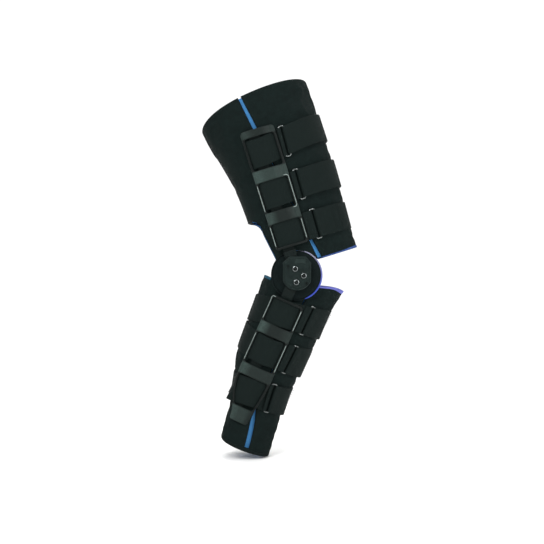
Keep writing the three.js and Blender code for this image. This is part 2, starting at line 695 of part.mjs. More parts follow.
function add(group, name, geometry, material) {
  const mesh = new THREE.Mesh(geometry, material);
  mesh.name = name;
  group.add(mesh);
  return mesh;
}

function kneeBrace() {
  const group = { thigh: new THREE.Group(), calf: new THREE.Group() };
  group.thigh.rotation.y = degToRad(-THIGH_LEAN);
  group.calf.rotation.y = degToRad(CALF_LEAN);
  addWraps(group.thigh, "thigh");
  addWraps(group.calf, "calf");
  for (const [side, sign] of Object.entries(SIDES)) {
    add(group.thigh, `thigh_frame_${side}`, ladderFrame(THIGH, sign), FRAME_PLASTIC);
    add(group.calf, `calf_frame_${side}`, ladderFrame(CALF, sign), FRAME_PLASTIC);
    addHinge(group, side);
  }
  addStraps(group);
  const brace = new THREE.Group().add(group.thigh, group.calf);
  brace.position.y = KNEE_HALF;
  return brace;
}

const brace = kneeBrace();

export default brace;
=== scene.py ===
"""The looks of a long hinged knee brace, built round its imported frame.

Lengths are in millimetres until a mesh is made. A leg is a tube whose outline is described by a few
sections. Everything soft, and the ladder frames, are shaped flat and then laid on that outline.
"""

import json
import math

import bpy
import numpy as np
from mathutils import Matrix, Vector


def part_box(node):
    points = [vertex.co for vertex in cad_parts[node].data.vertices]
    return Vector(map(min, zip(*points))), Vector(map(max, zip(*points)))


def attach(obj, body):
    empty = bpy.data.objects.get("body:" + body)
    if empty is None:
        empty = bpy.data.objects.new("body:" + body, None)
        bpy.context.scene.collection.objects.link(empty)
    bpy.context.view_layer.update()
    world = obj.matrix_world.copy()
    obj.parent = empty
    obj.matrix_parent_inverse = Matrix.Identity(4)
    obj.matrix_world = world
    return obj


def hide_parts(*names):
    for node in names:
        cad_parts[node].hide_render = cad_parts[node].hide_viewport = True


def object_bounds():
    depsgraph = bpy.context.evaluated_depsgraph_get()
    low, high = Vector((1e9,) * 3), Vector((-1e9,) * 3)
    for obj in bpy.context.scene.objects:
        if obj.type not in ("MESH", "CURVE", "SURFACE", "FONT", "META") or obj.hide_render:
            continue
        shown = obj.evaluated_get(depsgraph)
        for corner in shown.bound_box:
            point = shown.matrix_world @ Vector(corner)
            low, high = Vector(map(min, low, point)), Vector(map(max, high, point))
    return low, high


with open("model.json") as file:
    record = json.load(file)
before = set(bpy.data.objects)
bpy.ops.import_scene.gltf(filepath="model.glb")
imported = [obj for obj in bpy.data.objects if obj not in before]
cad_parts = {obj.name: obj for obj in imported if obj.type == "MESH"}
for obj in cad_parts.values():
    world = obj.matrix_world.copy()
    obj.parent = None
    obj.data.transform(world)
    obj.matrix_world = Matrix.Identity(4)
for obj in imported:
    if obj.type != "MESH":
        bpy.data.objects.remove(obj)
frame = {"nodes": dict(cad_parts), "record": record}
CAD_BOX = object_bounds()
MM = 0.001

# ---- Driving dimensions ------------------------------------------------------------------------

KNEE_MIDDLE = 500 * sum(m["pos_m"][1] for m in frame["record"]["mounts"])  # between the two pads
SIDES = {"lateral": -1, "medial": 1}

FOAM = 5.5
FOAM_ROUND = 2.6  # how far from an edge the foam starts to round off
SLIT_GAP = 0.8  # under the ladder frame
PAD_PRESS = 1.2  # how far the thigh's wrap reaches over a condyle pad's rounded edge
CALF_GAP = 0.5  # from a condyle pad's outline to the calf's wrap, under the pad's edge cord
HOLLOW_FRONT = -20.5  # forward edge of the hollow behind the knee, beside the hinge
HOLLOW_BACK = -31.5  # the same where its rounded corner starts
HOLLOW_CORNER = (20, 25)
HOLLOW_TOP = 106
THIGH_BOTTOM = 15
FLAP_END = 14
FLAP_DIP = 6.2

ARM_WIDTH = 18
STRAP_WIDTH = 45
STRAP_THICK = 1.9
STRAP_REST = 0.9
STRAP_OVER_ARM = 1.4
FOLD_LIFT = 2.1  # from one layer of a folded strap to the next

FRAME_HALF = 26.7
FRAME_THICK = 2.6
FRAME_CLEAR = 1.2
RAIL_WIDTH = 4
RUNG = 19.5

BEAD_RADIUS = 0.7
# How strongly a painted highlight, standing in for the lamps' reflections on the satin rungs, lightens each rung,
# nearest the knee first, at its rear end, its middle and its front end.
RUNG_PAINTED_HIGHLIGHT = {
    "thigh": [(0.8, 0.12, 0.5), (1.0, 0.6, 0.6), (0.5, 0.15, 0.35)],
    "calf": [(1.05, 0.12, 0.3), (0.9, 0.25, 0.25), (0.85, 0.5, 0.15)],
}
# The pale beads, painted highlights along the windows' edges, with ends that turn inwards along a rung, by leg, window
# and side of the window.
HOOKS = {("thigh", 2, "front"): ("near", "far"), ("calf", 1, "rear"): ("near",)}

COVER_TOP = 30

RING_BACK = 35
RING_WIDE = 10.8
RING_WIRE = 2.4
RING_REST = 2.1

SQUARENESS = 0.025
MOST_SKEW = 0.36


def smoothstep(t, low, high):
    t = np.clip((np.asarray(t, float) - low) / (high - low), 0, 1)
    return t * t * (3 - 2 * t)


def lerp(a, b, t):
    return a + (b - a) * t


# ---- The outline of a leg ----------------------------------------------------------------------


class Leg:
    """z runs along the leg from the knee, degrees run round it from the front (medial positive)."""

    def __init__(self, body, up, lean, middle_line, frame, sections):
        self.body = body
        self.up = up
        self.lean = math.radians(lean)
        self.middle_line = middle_line
        self.frame_start = frame["start"]
        self.rungs = frame["rungs"]
        self.last_rung = frame["last_rung"]
        self.frame_taper = frame["taper"]
        self.frame_settle = frame["settle"]
        self.z, *self.sizes = np.array(sections, float).T
        self.arm_z, self.arm_top = self.arm_profile()

    def size(self, values, z):
        """A smooth curve through the sections' values."""
        knots = self.z
        last = len(knots) - 1
        before = np.maximum(np.arange(last + 1) - 1, 0)
        after = np.minimum(np.arange(last + 1) + 1, last)
        slope = (values[after] - values[before]) / (knots[after] - knots[before])
        i = np.clip(np.searchsorted(knots, z), 1, last)
        span = knots[i] - knots[i - 1]
        t = (z - knots[i - 1]) / span
        ends = values[i - 1] * (1 + 2 * t) * (1 - t) ** 2 + values[i] * t * t * (3 - 2 * t)
        return ends + span * (slope[i - 1] * t * (1 - t) ** 2 - slope[i] * t * t * (1 - t))

    def outline(self, z):
        front, back, half = (self.size(values, z) for values in self.sizes)
        middle = (front + back) / 2
        reach = (front - back) / 2 / (1 - SQUARENESS)
        skew = np.minimum(middle - self.middle_line, MOST_SKEW * reach)
        return middle, reach, half / (1 - SQUARENESS), skew

    def forward(self, z, a):
        middle, reach, _, skew = self.outline(z)
        return middle + reach * (np.cos(a) - SQUARENESS * np.cos(3 * a)) - skew * np.sin(a) ** 2

    def sideways(self, z, a):
        return self.outline(z)[2] * (np.sin(a) + SQUARENESS * np.sin(3 * a))

    def flat_point(self, z, degrees, height=0.0):
        """A point in the leg's own upright axes, in millimetres from the knee's middle."""
        z, degrees, height = np.broadcast_arrays(*(np.asarray(v, float) for v in (z, degrees, height)))
        a = np.radians(degrees)
        _, reach, wide, skew = self.outline(z)
        dx = reach * (3 * SQUARENESS * np.sin(3 * a) - np.sin(a)) - skew * np.sin(2 * a)
        dy = wide * (np.cos(a) + 3 * SQUARENESS * np.cos(3 * a))
        length = np.hypot(dx, dy)
        x = self.forward(z, a) + dy / length * height
        y = self.sideways(z, a) - dx / length * height
        return np.stack([x, y, self.up * z], -1)

    def to_row(self, points):
        """From the leg's own axes to the row's, in metres."""
        x, y, z = np.moveaxis(np.asarray(points, float), -1, 0)
        cos, sin = math.cos(self.lean), math.sin(self.lean)
        return np.stack([x * cos + z * sin, y + KNEE_MIDDLE, z * cos - x * sin], -1) * MM

    def from_row(self, points):
        x, y, z = np.moveaxis(np.asarray(points, float) / MM, -1, 0)
        cos, sin = math.cos(self.lean), math.sin(self.lean)
        return np.stack([x * cos - z * sin, y - KNEE_MIDDLE, z * cos + x * sin], -1)

    def point(self, z, degrees, height=0.0):
        return self.to_row(self.flat_point(z, degrees, height))

    def angle_at(self, z, forward):
        """The angle, as a positive number, of a place a distance forward of the hinge line."""
        z, forward = np.broadcast_arrays(np.asarray(z, float), np.asarray(forward, float))
        low, high = np.zeros(z.shape), np.full(z.shape, math.pi)
        for _ in range(24):
            half = (low + high) / 2
            beyond = self.forward(z, half) > forward
            low, high = np.where(beyond, half, low), np.where(beyond, high, half)
        return np.degrees(low)

    def degree_size(self, z, degrees):
        return np.linalg.norm(self.flat_point(z, degrees + 1) - self.flat_point(z, degrees), axis=-1)

    def side_angle(self, z, forward):
        """The angle of a place a distance round the leg from the frame's middle line."""
        start = self.angle_at(z, self.middle_line)
        return start - forward / self.degree_size(z, start)

    def arm_profile(self):
        """How far the metal arm's outer face is from the knee's middle, read from the frame."""
        name = "lateral_upper_arm" if self.up > 0 else "lateral_lower_arm"
        points = self.from_row([v.co[:] for v in frame["nodes"][name].data.vertices])
        edge = points[np.abs(np.abs(points[:, 0]) - ARM_WIDTH / 2) < 0.05]
        along = np.round(self.up * edge[:, 2], 1)
        stations = np.unique(along)
        return stations, np.array([np.abs(edge[along == z, 1]).max() for z in stations])

    def over_arm(self, z, degrees):
        """How far a strap or frame is lifted off the wrap to clear the arm under it."""
        away_from_front = np.abs((np.asarray(degrees, float) + 540) % 360 - 180)
        hinge_line = self.angle_at(z, 0)
        arm_edge = 0.5 * ARM_WIDTH / self.degree_size(z, hinge_line)
        away = away_from_front - hinge_line
        nearest = np.radians(hinge_line + np.clip(away, -arm_edge, arm_edge))
        on_arm = np.minimum(z, self.arm_z[-1])
        top = np.interp(on_arm, self.arm_z, self.arm_top)
        lift = np.maximum(top - self.sideways(on_arm, nearest) + STRAP_OVER_ARM, 0)
        return lift * (1 - smoothstep(np.abs(away) / arm_edge, 1.3, 3.4))


# Of a ladder frame, taper is how much nearer the middle line its rear and front rails are at its far
# end, and settle is the share of its clearance that it loses past the last strap.
THIGH_FRAME = {"start": 46, "rungs": (98, 166, 234), "last_rung": 12, "taper": (0, 0), "settle": 0}
CALF_FRAME = {"start": 43.5, "rungs": (98, 171.5, 245), "last_rung": 26, "taper": (22, 8), "settle": 0.6}
THIGH = Leg("thigh", 1, -17.2, 6, THIGH_FRAME, [
    # z, front, back, half width
    (10, 112, -50, 64),
    (50, 112, -50, 64.9),
    (106, 112.5, -51, 75),
    (168, 113.5, -56, 84),
    (235, 112.5, -71, 92),
    (303, 112, -87, 98),
])
CALF = Leg("calf", -1, 24.5, 4, CALF_FRAME, [
    (-18, 86, -50, 55.2),
    (30, 78.5, -47, 56.4),
    (66, 76.5, -44, 60),
    (110, 76, -40.5, 60),
    (158, 73.7, -35.5, 57),
    (195, 72.5, -23.5, 51),
    (235, 76, -13, 45.5),
    (300, 84.5, -1.5, 41),
])
LEGS = {"thigh": THIGH, "calf": CALF}

# z is a strap's middle at the side of the leg, front and back are how much further from the knee it
# is there, wider is how far each edge spreads at the front, ring is how far forward its ring is moved,
# sunk is how far its edge nearer the knee sinks into the foam at the front, and fold is where its doubled
# end stops, in degrees past the front.
STRAPS = {
    "thigh": [
        dict(z=70.4, front=0, back=0, wider=0, ring=3, sunk=1.5, fold=-30),
        dict(z=135.5, front=7, back=0, wider=1, ring=-3.5, sunk=0, fold=16),
        dict(z=202.5, front=19, back=0, wider=0, ring=-5, sunk=0, fold=16),
    ],
    "calf": [
        dict(z=66, front=-10, back=13, wider=4, ring=0, sunk=3, fold=20),
        dict(z=133.5, front=-6.5, back=-7, wider=4, ring=0, sunk=3, fold=22),
        dict(z=204.5, front=-6, back=7, wider=1.5, ring=-6, sunk=2.5, fold=20),
    ],
}


# ---- Meshes ------------------------------------------------------------------------------------


def mesh_object(name, points, faces, uvs=None, smooth=True):
    mesh = bpy.data.meshes.new(name)
    mesh.from_pydata([tuple(p) for p in np.asarray(points, float).reshape(-1, 3)], [], faces)
    if uvs is not None:
        layer = mesh.uv_layers.new(name="surface")
        loops = np.zeros(len(mesh.loops), int)
        mesh.loops.foreach_get("vertex_index", loops)
        layer.data.foreach_set("uv", np.asarray(uvs, float).reshape(-1, 2)[loops].ravel())
    mesh.polygons.foreach_set("use_smooth", [smooth] * len(mesh.polygons))
    mesh.update()
    piece = bpy.data.objects.new(name, mesh)
    bpy.context.scene.collection.objects.link(piece)
    return piece


def grid_faces(rows, columns, start=0, flip=False):
    """The quads of a grid of vertices stored row by row."""
    faces = []
    for i in range(rows - 1):
        for j in range(columns - 1):
            a = start + i * columns + j
            quad = (a, a + 1, a + columns + 1, a + columns)
            faces.append(quad[::-1] if flip else quad)
    return faces


def closed_sheet(name, outer, inner, uv, flip):
    """A closed solid between two grids of points, and the number of its outer faces."""
    rows, columns = outer.shape[:2]
    count = rows * columns
    faces = grid_faces(rows, columns, 0, flip)
    outer_faces = len(faces)
    faces += grid_faces(rows, columns, count, not flip)
    rim = [(0, j) for j in range(columns)] + [(i, columns - 1) for i in range(1, rows)]
    rim += [(rows - 1, j) for j in range(columns - 2, -1, -1)] + [(i, 0) for i in range(rows - 2, 0, -1)]
    ids = [i * columns + j for i, j in rim]
    for a, b in zip(ids, ids[1:] + ids[:1]):
        quad = (a, a + count, b + count, b)
        faces.append(quad[::-1] if flip else quad)
    points = np.concatenate([outer.reshape(-1, 3), inner.reshape(-1, 3)])
    piece = mesh_object(name, points, faces, np.concatenate([uv.reshape(-1, 2)] * 2))
    return piece, outer_faces


def spaced(length, step, edges=(0.7, 1.7, 3.2)):
    """Places from 0 to 1 along a length, closer together near both ends."""
    count = max(2, round((length - 2 * edges[-1]) / step))
    inside = np.linspace(edges[-1], length - edges[-1], count + 1)[1:-1]
    places = [0, *edges, *inside, *[length - e for e in reversed(edges)], length]
    return np.array(places) / length


def apply_modifiers(piece):
    with bpy.context.temp_override(object=piece, active_object=piece, selected_objects=[piece]):
        for modifier in list(piece.modifiers):
            bpy.ops.object.modifier_apply(modifier=modifier.name)


def add_modifier(piece, kind, **settings):
    modifier = piece.modifiers.new(kind.title(), kind)
    for key, value in settings.items():
        setattr(modifier, key, value)
    return modifier


def finish_piece(piece, body, slot, *materials, replaces=()):
    for material in materials:
        if material.name not in piece.data.materials:
            piece.data.materials.append(material)
    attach(piece, body)
    if replaces:
        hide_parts(*replaces)
    return piece


def coordinates(piece):
    values = np.zeros(len(piece.data.vertices) * 3)
    piece.data.vertices.foreach_get("co", values)
    return values.reshape(-1, 3)


# ---- Materials ---------------------------------------------------------------------------------


def linear(hex_colour):
    channels = [int(hex_colour[i:i + 2], 16) / 255 for i in (0, 2, 4)]
    return [*(c / 12.92 if c <= 0.04045 else ((c + 0.055) / 1.055) ** 2.4 for c in channels), 1]


class Shader:
    """A principled material, with helpers that add detail in millimetre sizes."""

    def __init__(self, name, colour, roughness, metallic=0.0):
        self.material = bpy.data.materials.new(name)
        self.material.use_nodes = True
        self.tree = self.material.node_tree
        self.main = self.tree.nodes["Principled BSDF"]
        self.main.inputs["Roughness"].default_value = roughness
        self.main.inputs["Metallic"].default_value = metallic
        self.place = self.node("ShaderNodeTexCoord")
        self.colour = self.node("ShaderNodeRGB")
        self.colour.outputs[0].default_value = linear(colour)
        self.link(self.colour.outputs[0], self.main.inputs["Base Color"])
        self.last_bump = None

    def node(self, kind, **settings):
        made = self.tree.nodes.new(kind)
        for key, value in settings.items():
            if hasattr(made, key):
                setattr(made, key, value)
            else:
                made.inputs[key].default_value = value
        return made

    def link(self, output, socket):
        self.tree.links.new(output, socket)

    def texture(self, kind, size, on="Object", stretch=(1, 1, 1), **settings):
        """A texture whose features are about size millimetres across."""
        mapping = self.node("ShaderNodeMapping")
        scale = [s / (size * MM) for s in stretch]
        mapping.inputs["Scale"].default_value = scale
        self.link(self.place.outputs[on], mapping.inputs["Vector"])
        made = self.node(kind, **settings)
        self.link(mapping.outputs[0], made.inputs["Vector"])
        return made.outputs["Distance"] if kind == "ShaderNodeTexVoronoi" else made.outputs[0]

    def ramp(self, value, low, high, dark, light):
        """Maps a value between low and high to two numbers."""
        made = self.node("ShaderNodeMapRange")
        made.inputs["From Min"].default_value = low
        made.inputs["From Max"].default_value = high
        made.inputs["To Min"].default_value = dark
        made.inputs["To Max"].default_value = light
        self.link(value, made.inputs["Value"])
        return made.outputs[0]

    def math(self, operation, a, b):
        made = self.node("ShaderNodeMath", operation=operation)
        for socket, value in zip(made.inputs, (a, b)):
            if hasattr(value, "is_linked"):
                self.link(value, socket)
            else:
                socket.default_value = value
        return made.outputs[0]

    def tint(self, amount, colour, mode="MIX"):
        """Mixes another colour in by an amount from 0 to 1."""
        mix = self.node("ShaderNodeMix", data_type="RGBA", blend_type=mode)
        before = self.main.inputs["Base Color"].links[0].from_socket
        self.link(amount, mix.inputs["Factor"])
        self.link(before, mix.inputs[6])
        mix.inputs[7].default_value = linear(colour)
        self.link(mix.outputs[2], self.main.inputs["Base Color"])

    def bump(self, height, depth, strength=1.0):
        """Adds a bump of a depth in millimetres."""
        made = self.node("ShaderNodeBump", Strength=strength, Distance=depth * MM)
        self.link(height, made.inputs["Height"])
        if self.last_bump:
            self.link(self.last_bump, made.inputs["Normal"])
        self.last_bump = made.outputs[0]
        self.link(self.last_bump, self.main.inputs["Normal"])

    def roughen(self, value, low, high):
        self.link(self.ramp(value, 0.3, 0.7, low, high), self.main.inputs["Roughness"])

    def wear(self, colour, amount=0.6):
        """Lightens convex edges where a part gets rubbed."""
        sharp = self.ramp(self.node("ShaderNodeNewGeometry").outputs["Pointiness"], 0.51, 0.56, 0, amount)
        patchy = self.texture("ShaderNodeTexNoise", 5, Detail=4.0)
        self.tint(self.math("MULTIPLY", sharp, self.ramp(patchy, 0.35, 0.65, 0, 1)), colour)

    def sheen(self, weight, colour, roughness=0.5):
        self.main.inputs["Sheen Weight"].default_value = weight
        self.main.inputs["Sheen Roughness"].default_value = roughness
        self.main.inputs["Sheen Tint"].default_value = linear(colour)


def pile_fabric(name, colour, light, dark):
    """Brushed loop fabric: a fine felted pile with faint streaks and lighter lint."""
    s = Shader(name, colour, 0.92)
    s.main.inputs["Specular IOR Level"].default_value = 0.08
    broad = s.texture("ShaderNodeTexNoise", 42, Detail=3.0)
    s.tint(s.ramp(broad, 0.35, 0.7, 0, 0.55), dark)
    pile = s.texture("ShaderNodeTexNoise", 0.9, Detail=6.0, Roughness=0.7)
    s.tint(s.ramp(pile, 0.45, 0.75, 0, 0.5), light)
    loops = s.texture("ShaderNodeTexVoronoi", 0.8)
    s.bump(s.math("ADD", pile, loops), 0.25, 0.7)
    s.bump(s.texture("ShaderNodeTexNoise", 14, Detail=2.0), 0.5, 0.5)
    s.sheen(0.04, light)
    return s.material


def woven_fabric(name, colour, light, thread, sheen=0.2):
    """Webbing: threads crossing at right angles, in the strap's own directions."""
    s = Shader(name, colour, 0.85)
    s.main.inputs["Specular IOR Level"].default_value = 0.1
    waves = [
        s.texture("ShaderNodeTexWave", thread, on="UV", bands_direction=axis, Scale=0.3, Distortion=0.4)
        for axis in ("X", "Y")
    ]
    weave = s.math("MAXIMUM", *waves)
    s.bump(weave, 0.22, 0.8)
    fuzz = s.texture("ShaderNodeTexNoise", 0.7, Detail=5.0)
    s.bump(fuzz, 0.15, 0.5)
    s.tint(s.ramp(s.math("MULTIPLY", weave, fuzz), 0.3, 0.75, 0, 0.5), light)
    s.sheen(sheen, light)
    return s.material


def foam_edge(name, colour, light, dark):
    """Cut foam: small open cells, with painted shade darkening their hollows."""
    s = Shader(name, colour, 0.95)
    cells = s.texture("ShaderNodeTexVoronoi", 0.9)
    # Painted shade: each cell's hollow, which the bump sinks, is darkened.
    s.tint(s.ramp(cells, 0.1, 0.6, 0.5, 0), dark)
    s.tint(s.ramp(s.texture("ShaderNodeTexNoise", 9), 0.4, 0.7, 0, 0.5), light)
    s.bump(cells, 0.3, 0.8)
    return s.material


def moulded(name, colour, light, roughness, grain=0.5, coat=0.0, shine=0.2):
    """Moulded plastic with a fine grain, and rubbed edges."""
    s = Shader(name, colour, roughness)
    s.main.inputs["Specular IOR Level"].default_value = shine
    cloudy = s.texture("ShaderNodeTexNoise", 22, Detail=3.0)
    s.roughen(cloudy, roughness - 0.08, roughness + 0.1)
    s.tint(s.ramp(cloudy, 0.4, 0.7, 0, 0.25), light)
    s.bump(s.texture("ShaderNodeTexVoronoi", grain), 0.06, 0.6)
    s.wear(light)
    s.main.inputs["Coat Weight"].default_value = coat
    return s.material


def frame_shell(name, colour, light):
    """Satin moulded plastic. The second number of its map is how much painted highlight it gets, in the lighter
    colour, where the lamps would catch the rungs.
    """
    s = Shader(name, colour, 0.5)
    s.main.inputs["Specular IOR Level"].default_value = 0.12
    place = s.node("ShaderNodeSeparateXYZ")
    s.link(s.place.outputs["UV"], place.inputs[0])
    cloudy = s.texture("ShaderNodeTexNoise", 9, Detail=3.0)
    # Painted highlight: the lighter colour, a little cloudy, mixed in by the map's second number.
    s.tint(s.math("MULTIPLY", place.outputs[1], s.ramp(cloudy, 0.3, 0.7, 0.65, 1.1)), light)
    s.bump(s.texture("ShaderNodeTexVoronoi", 0.5), 0.05, 0.6)
    s.roughen(cloudy, 0.42, 0.58)
    s.wear(light, 0.3)
    return s.material


def piping_cloth(name, colour, light, top_highlight):
    """Woven cord, bluer below the hinge and paler grey above it, where a painted highlight stands in for the top lamp.
    """
    material = woven_fabric(name, colour, light, 0.8, 0.05)
    tree = material.node_tree
    main = tree.nodes["Principled BSDF"]
    place, split = tree.nodes.new("ShaderNodeTexCoord"), tree.nodes.new("ShaderNodeSeparateXYZ")
    share, mix = tree.nodes.new("ShaderNodeMapRange"), tree.nodes.new("ShaderNodeMix")
    # Painted highlight: the cord is mixed towards the paler grey with height.
    tree.links.new(place.outputs["Object"], split.inputs[0])
    share.inputs["From Min"].default_value = -0.02
    share.inputs["From Max"].default_value = 0.03
    tree.links.new(split.outputs[2], share.inputs["Value"])
    mix.data_type = "RGBA"
    tree.links.new(share.outputs[0], mix.inputs["Factor"])
    tree.links.new(main.inputs["Base Color"].links[0].from_socket, mix.inputs[6])
    mix.inputs[7].default_value = linear(top_highlight)
    tree.links.new(mix.outputs[2], main.inputs["Base Color"])
    return material


def metal(name, colour, light, roughness, metallic=1.0, brushed=(1, 1, 1)):
    """Metal with fine scratches that follow one direction."""
    s = Shader(name, colour, roughness, metallic)
    scratches = s.texture("ShaderNodeTexNoise", 0.6, stretch=brushed, Detail=5.0)
    s.roughen(scratches, roughness - 0.08, roughness + 0.14)
    s.bump(scratches, 0.03, 0.5)
    s.wear(light, 0.8)
    return s.material


LAMINATE = pile_fabric("laminate", "0b1413", "192625", "070c0c")
PAD_CLOTH = pile_fabric("pad_cloth", "0c1414", "192324", "080c0c")
WEBBING = woven_fabric("webbing", "091110", "192523", 1.1, 0.03)
LINING = woven_fabric("lining", "3872a4", "689dc8", 1.6, 0.2)
BLUE_TAPE = woven_fabric("blue_tape", "2c4170", "6478a4", 1.0, 0.1)
LAVENDER_TAPE = woven_fabric("lavender_tape", "565a9c", "8c89b4", 1.0, 0.1)
TEAL_TAPE = woven_fabric("teal_tape", "1a4052", "3a7082", 1.0, 0.1)
# 77788c is the painted highlight on the top of the cord.
PIPING = piping_cloth("piping", "35459a", "6c74b0", "77788c")
# 0f2036 is the painted shade in the foam's cell hollows.
FOAM_BLUE = foam_edge("foam_blue", "1c3450", "3c5878", "0f2036")
THREAD = woven_fabric("thread", "141b1a", "2b3533", 0.4, 0.05)
# 2e3b38 is the painted highlight on the rungs, and also the colour of rubbed edges.
FRAME_PLASTIC = frame_shell("frame_plastic", "080e0d", "2e3b38")
# The beads' pale colour is a painted highlight; their gloss is real.
BEAD_HIGHLIGHT_PLASTIC = moulded("bead_highlight_plastic", "56625f", "8b9894", 0.28, coat=0.3)
DIAL_PLASTIC = moulded("dial_plastic", "0a1413", "1a2826", 0.4, shine=0.12)
WINDOW_PLASTIC = moulded("window_plastic", "131d1c", "26322f", 0.4, shine=0.12)
BLACK_METAL = moulded("black_metal", "080e0d", "1a2221", 0.5, 0.35, shine=0.06)
STEEL = metal("steel", "7d8383", "c9cfcf", 0.25)
DARK_STEEL = metal("dark_steel", "1b1f1f", "6d7272", 0.35)
RING_METAL = metal("ring_metal", "242929", "a9afad", 0.22)


# ---- Wraps -------------------------------------------------------------------------------------


def thigh_slit(z):
    """How far forward of the hinge line the slit is, and half its width."""
    below = lerp(5.5, 4, (z - THIGH_BOTTOM) / 32) * (1 - smoothstep(z, 48, 58))
    above = lerp(5.5, 4, (z - 240) / 50) * smoothstep(z, 232, 241)
    return lerp(44, -4, (z - 20) / 270), (SLIT_GAP + below + above) / 2


def calf_slit(z):
    """The same on the calf."""
    gap = SLIT_GAP + 6.5 * smoothstep(z, 226, 250)
    return 29 + 16 * smoothstep(z, 205, 310), gap / 2


def folded(degrees):
    return np.abs((degrees + 540) % 360 - 180)


def thigh_edges(z, degrees):
    a = np.radians(degrees)
    top = 289.5 + 14.5 * np.cos(a) - 8 * np.sin(a) * np.abs(np.sin(a))
    return THIGH_BOTTOM + 0 * a, top


def calf_edges(z, degrees):
    top = lerp(-8, 22, smoothstep(folded(degrees), 24, 120))
    return top, 295 + 4 * np.sin(np.radians(degrees)) ** 2


PAD_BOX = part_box("lateral_condyle_pad")
PAD_RADIUS = (PAD_BOX[1].x - PAD_BOX[0].x) / 2 / MM
EDGES = {"thigh": thigh_edges, "calf": calf_edges}
SLITS = {"thigh": thigh_slit, "calf": calf_slit}


def hollow_edge():
    """The edge of the hollow behind the knee, as places of (forward, z), from the hinge to the back."""
    wide, tall = HOLLOW_CORNER
    corner = HOLLOW_TOP - tall
    straight = [(lerp(HOLLOW_FRONT, HOLLOW_BACK, t), lerp(THIGH_BOTTOM, corner, t)) for t in np.linspace(0, 1, 12)]
    curve = [(HOLLOW_BACK - wide * t * t, corner + tall * (2 * t - t * t)) for t in np.linspace(0, 1, 12)[1:]]
    return straight + curve


def prism(name, leg, outline):
    """A block across a leg, from its side view."""
    count = len(outline)
    points = [leg.to_row((x, y, leg.up * z)) for y in (-160, 160) for x, z in outline]
    faces = [tuple(range(count)), tuple(range(2 * count - 1, count - 1, -1))]
    for a in range(count):
        b = (a + 1) % count
        faces.append((b, a, a + count, b + count))
    if leg.up < 0:
        faces = [face[::-1] for face in faces]
    block = mesh_object(name, points, faces, smooth=False)
    block.data.materials.append(FOAM_BLUE)
    return block


def cutters_for(leg):
    """What is cut out of a leg's wraps: room for the condyle pads, and the hollow behind the knee."""
    radius = PAD_RADIUS - PAD_PRESS if leg is THIGH else PAD_RADIUS + CALF_GAP
    made = [prism("pad_room", leg, circle(0, 0, radius, 120))]
    if leg is THIGH:
        made.append(prism("hollow", leg, [(HOLLOW_FRONT, -20), *hollow_edge(), (-150, HOLLOW_TOP), (-150, -20)]))
    return made


def panel_grid(leg, around, step, inset=0.0):
    """Angles and z of a grid of points over a panel, with each point's distance to its edges."""
    edges = EDGES[leg.body]
    middle = 150.0
    width = float(abs(around[1](middle) - around[0](middle)) * leg.degree_size(middle, 90.0))
    u = spaced(width, step)[None, :]
    v = spaced(280, step)[:, None]
    z = np.full((v.size, u.size), middle)
    for _ in range(6):
        degrees = lerp(around[0](z), around[1](z), u)
        low, high = edges(z, degrees)
        z = lerp(low + inset, high - inset, v)
    to_side = np.minimum(u, 1 - u) * width
    to_end = np.minimum(v, 1 - v) * (high - low)
    return degrees, z, to_side, to_end


def rounded(distance, radius):
    """The height of a rounded edge, from 0 at the edge to 1 a radius inside it."""
    return np.sqrt(1 - (1 - np.clip(distance / radius, 0, 1)) ** 2)


def held_down(leg, z, degrees):
    """1 where a strap or a ladder frame presses on the wrap, 0 between them."""
    held = np.zeros(z.shape)
    for strap in STRAPS[leg.body]:
        away = np.abs(z - strap_middle(strap, degrees)) - STRAP_WIDTH / 2
        held = np.maximum(held, 1 - smoothstep(away, -1, 7))
    from_frame = np.abs(folded(degrees) - leg.side_angle(z, 0)) * leg.degree_size(z, 90.0)
    beside = 1 - smoothstep(from_frame, FRAME_HALF, FRAME_HALF + 8)
    held = np.maximum(held, beside * (z < leg.rungs[-1] + RUNG))
    forward = leg.forward(z, np.radians(degrees))
    near_pad = 1 - smoothstep(np.hypot(forward, z), PAD_RADIUS + 4, PAD_RADIUS + 14)
    near_hollow = (leg is THIGH) * (1 - smoothstep(z, 108, 122)) * (1 - smoothstep(forward, -30, -20))
    return np.maximum(held, np.maximum(near_pad, near_hollow))


def relax(piece, held, cap, pressure=3.0, frames=14, swell=0.03):
    """Inflates a padded piece as cloth, holding it where held is 1, and never moving it past a cap."""
    before = coordinates(piece)
    group = piece.vertex_groups.new(name="held")
    for index, weight in enumerate(held):
        group.add([index], float(weight), "REPLACE")
    cloth = add_modifier(piece, "CLOTH")
    settings = cloth.settings
    settings.vertex_group_mass = "held"
    settings.quality = 4
    settings.mass = 0.2
    settings.tension_stiffness = 8
    settings.compression_stiffness = 8
    settings.bending_stiffness = 1.5
    settings.use_pressure = True
    settings.uniform_pressure_force = pressure
    settings.shrink_min = -swell
    settings.effector_weights.gravity = 0
    cloth.collision_settings.use_collision = False
    cloth.point_cache.frame_end = frames
    for step in range(1, frames + 1):
        bpy.context.scene.frame_set(step)
    apply_modifiers(piece)
    bpy.context.scene.frame_set(1)
    moved = coordinates(piece) - before
    distance = np.linalg.norm(moved, axis=1, keepdims=True)
    moved *= np.minimum(1, cap * MM / np.maximum(distance, 1e-9))
    piece.data.vertices.foreach_set("co", (before + moved).ravel())
    piece.vertex_groups.clear()
    piece.data.update()


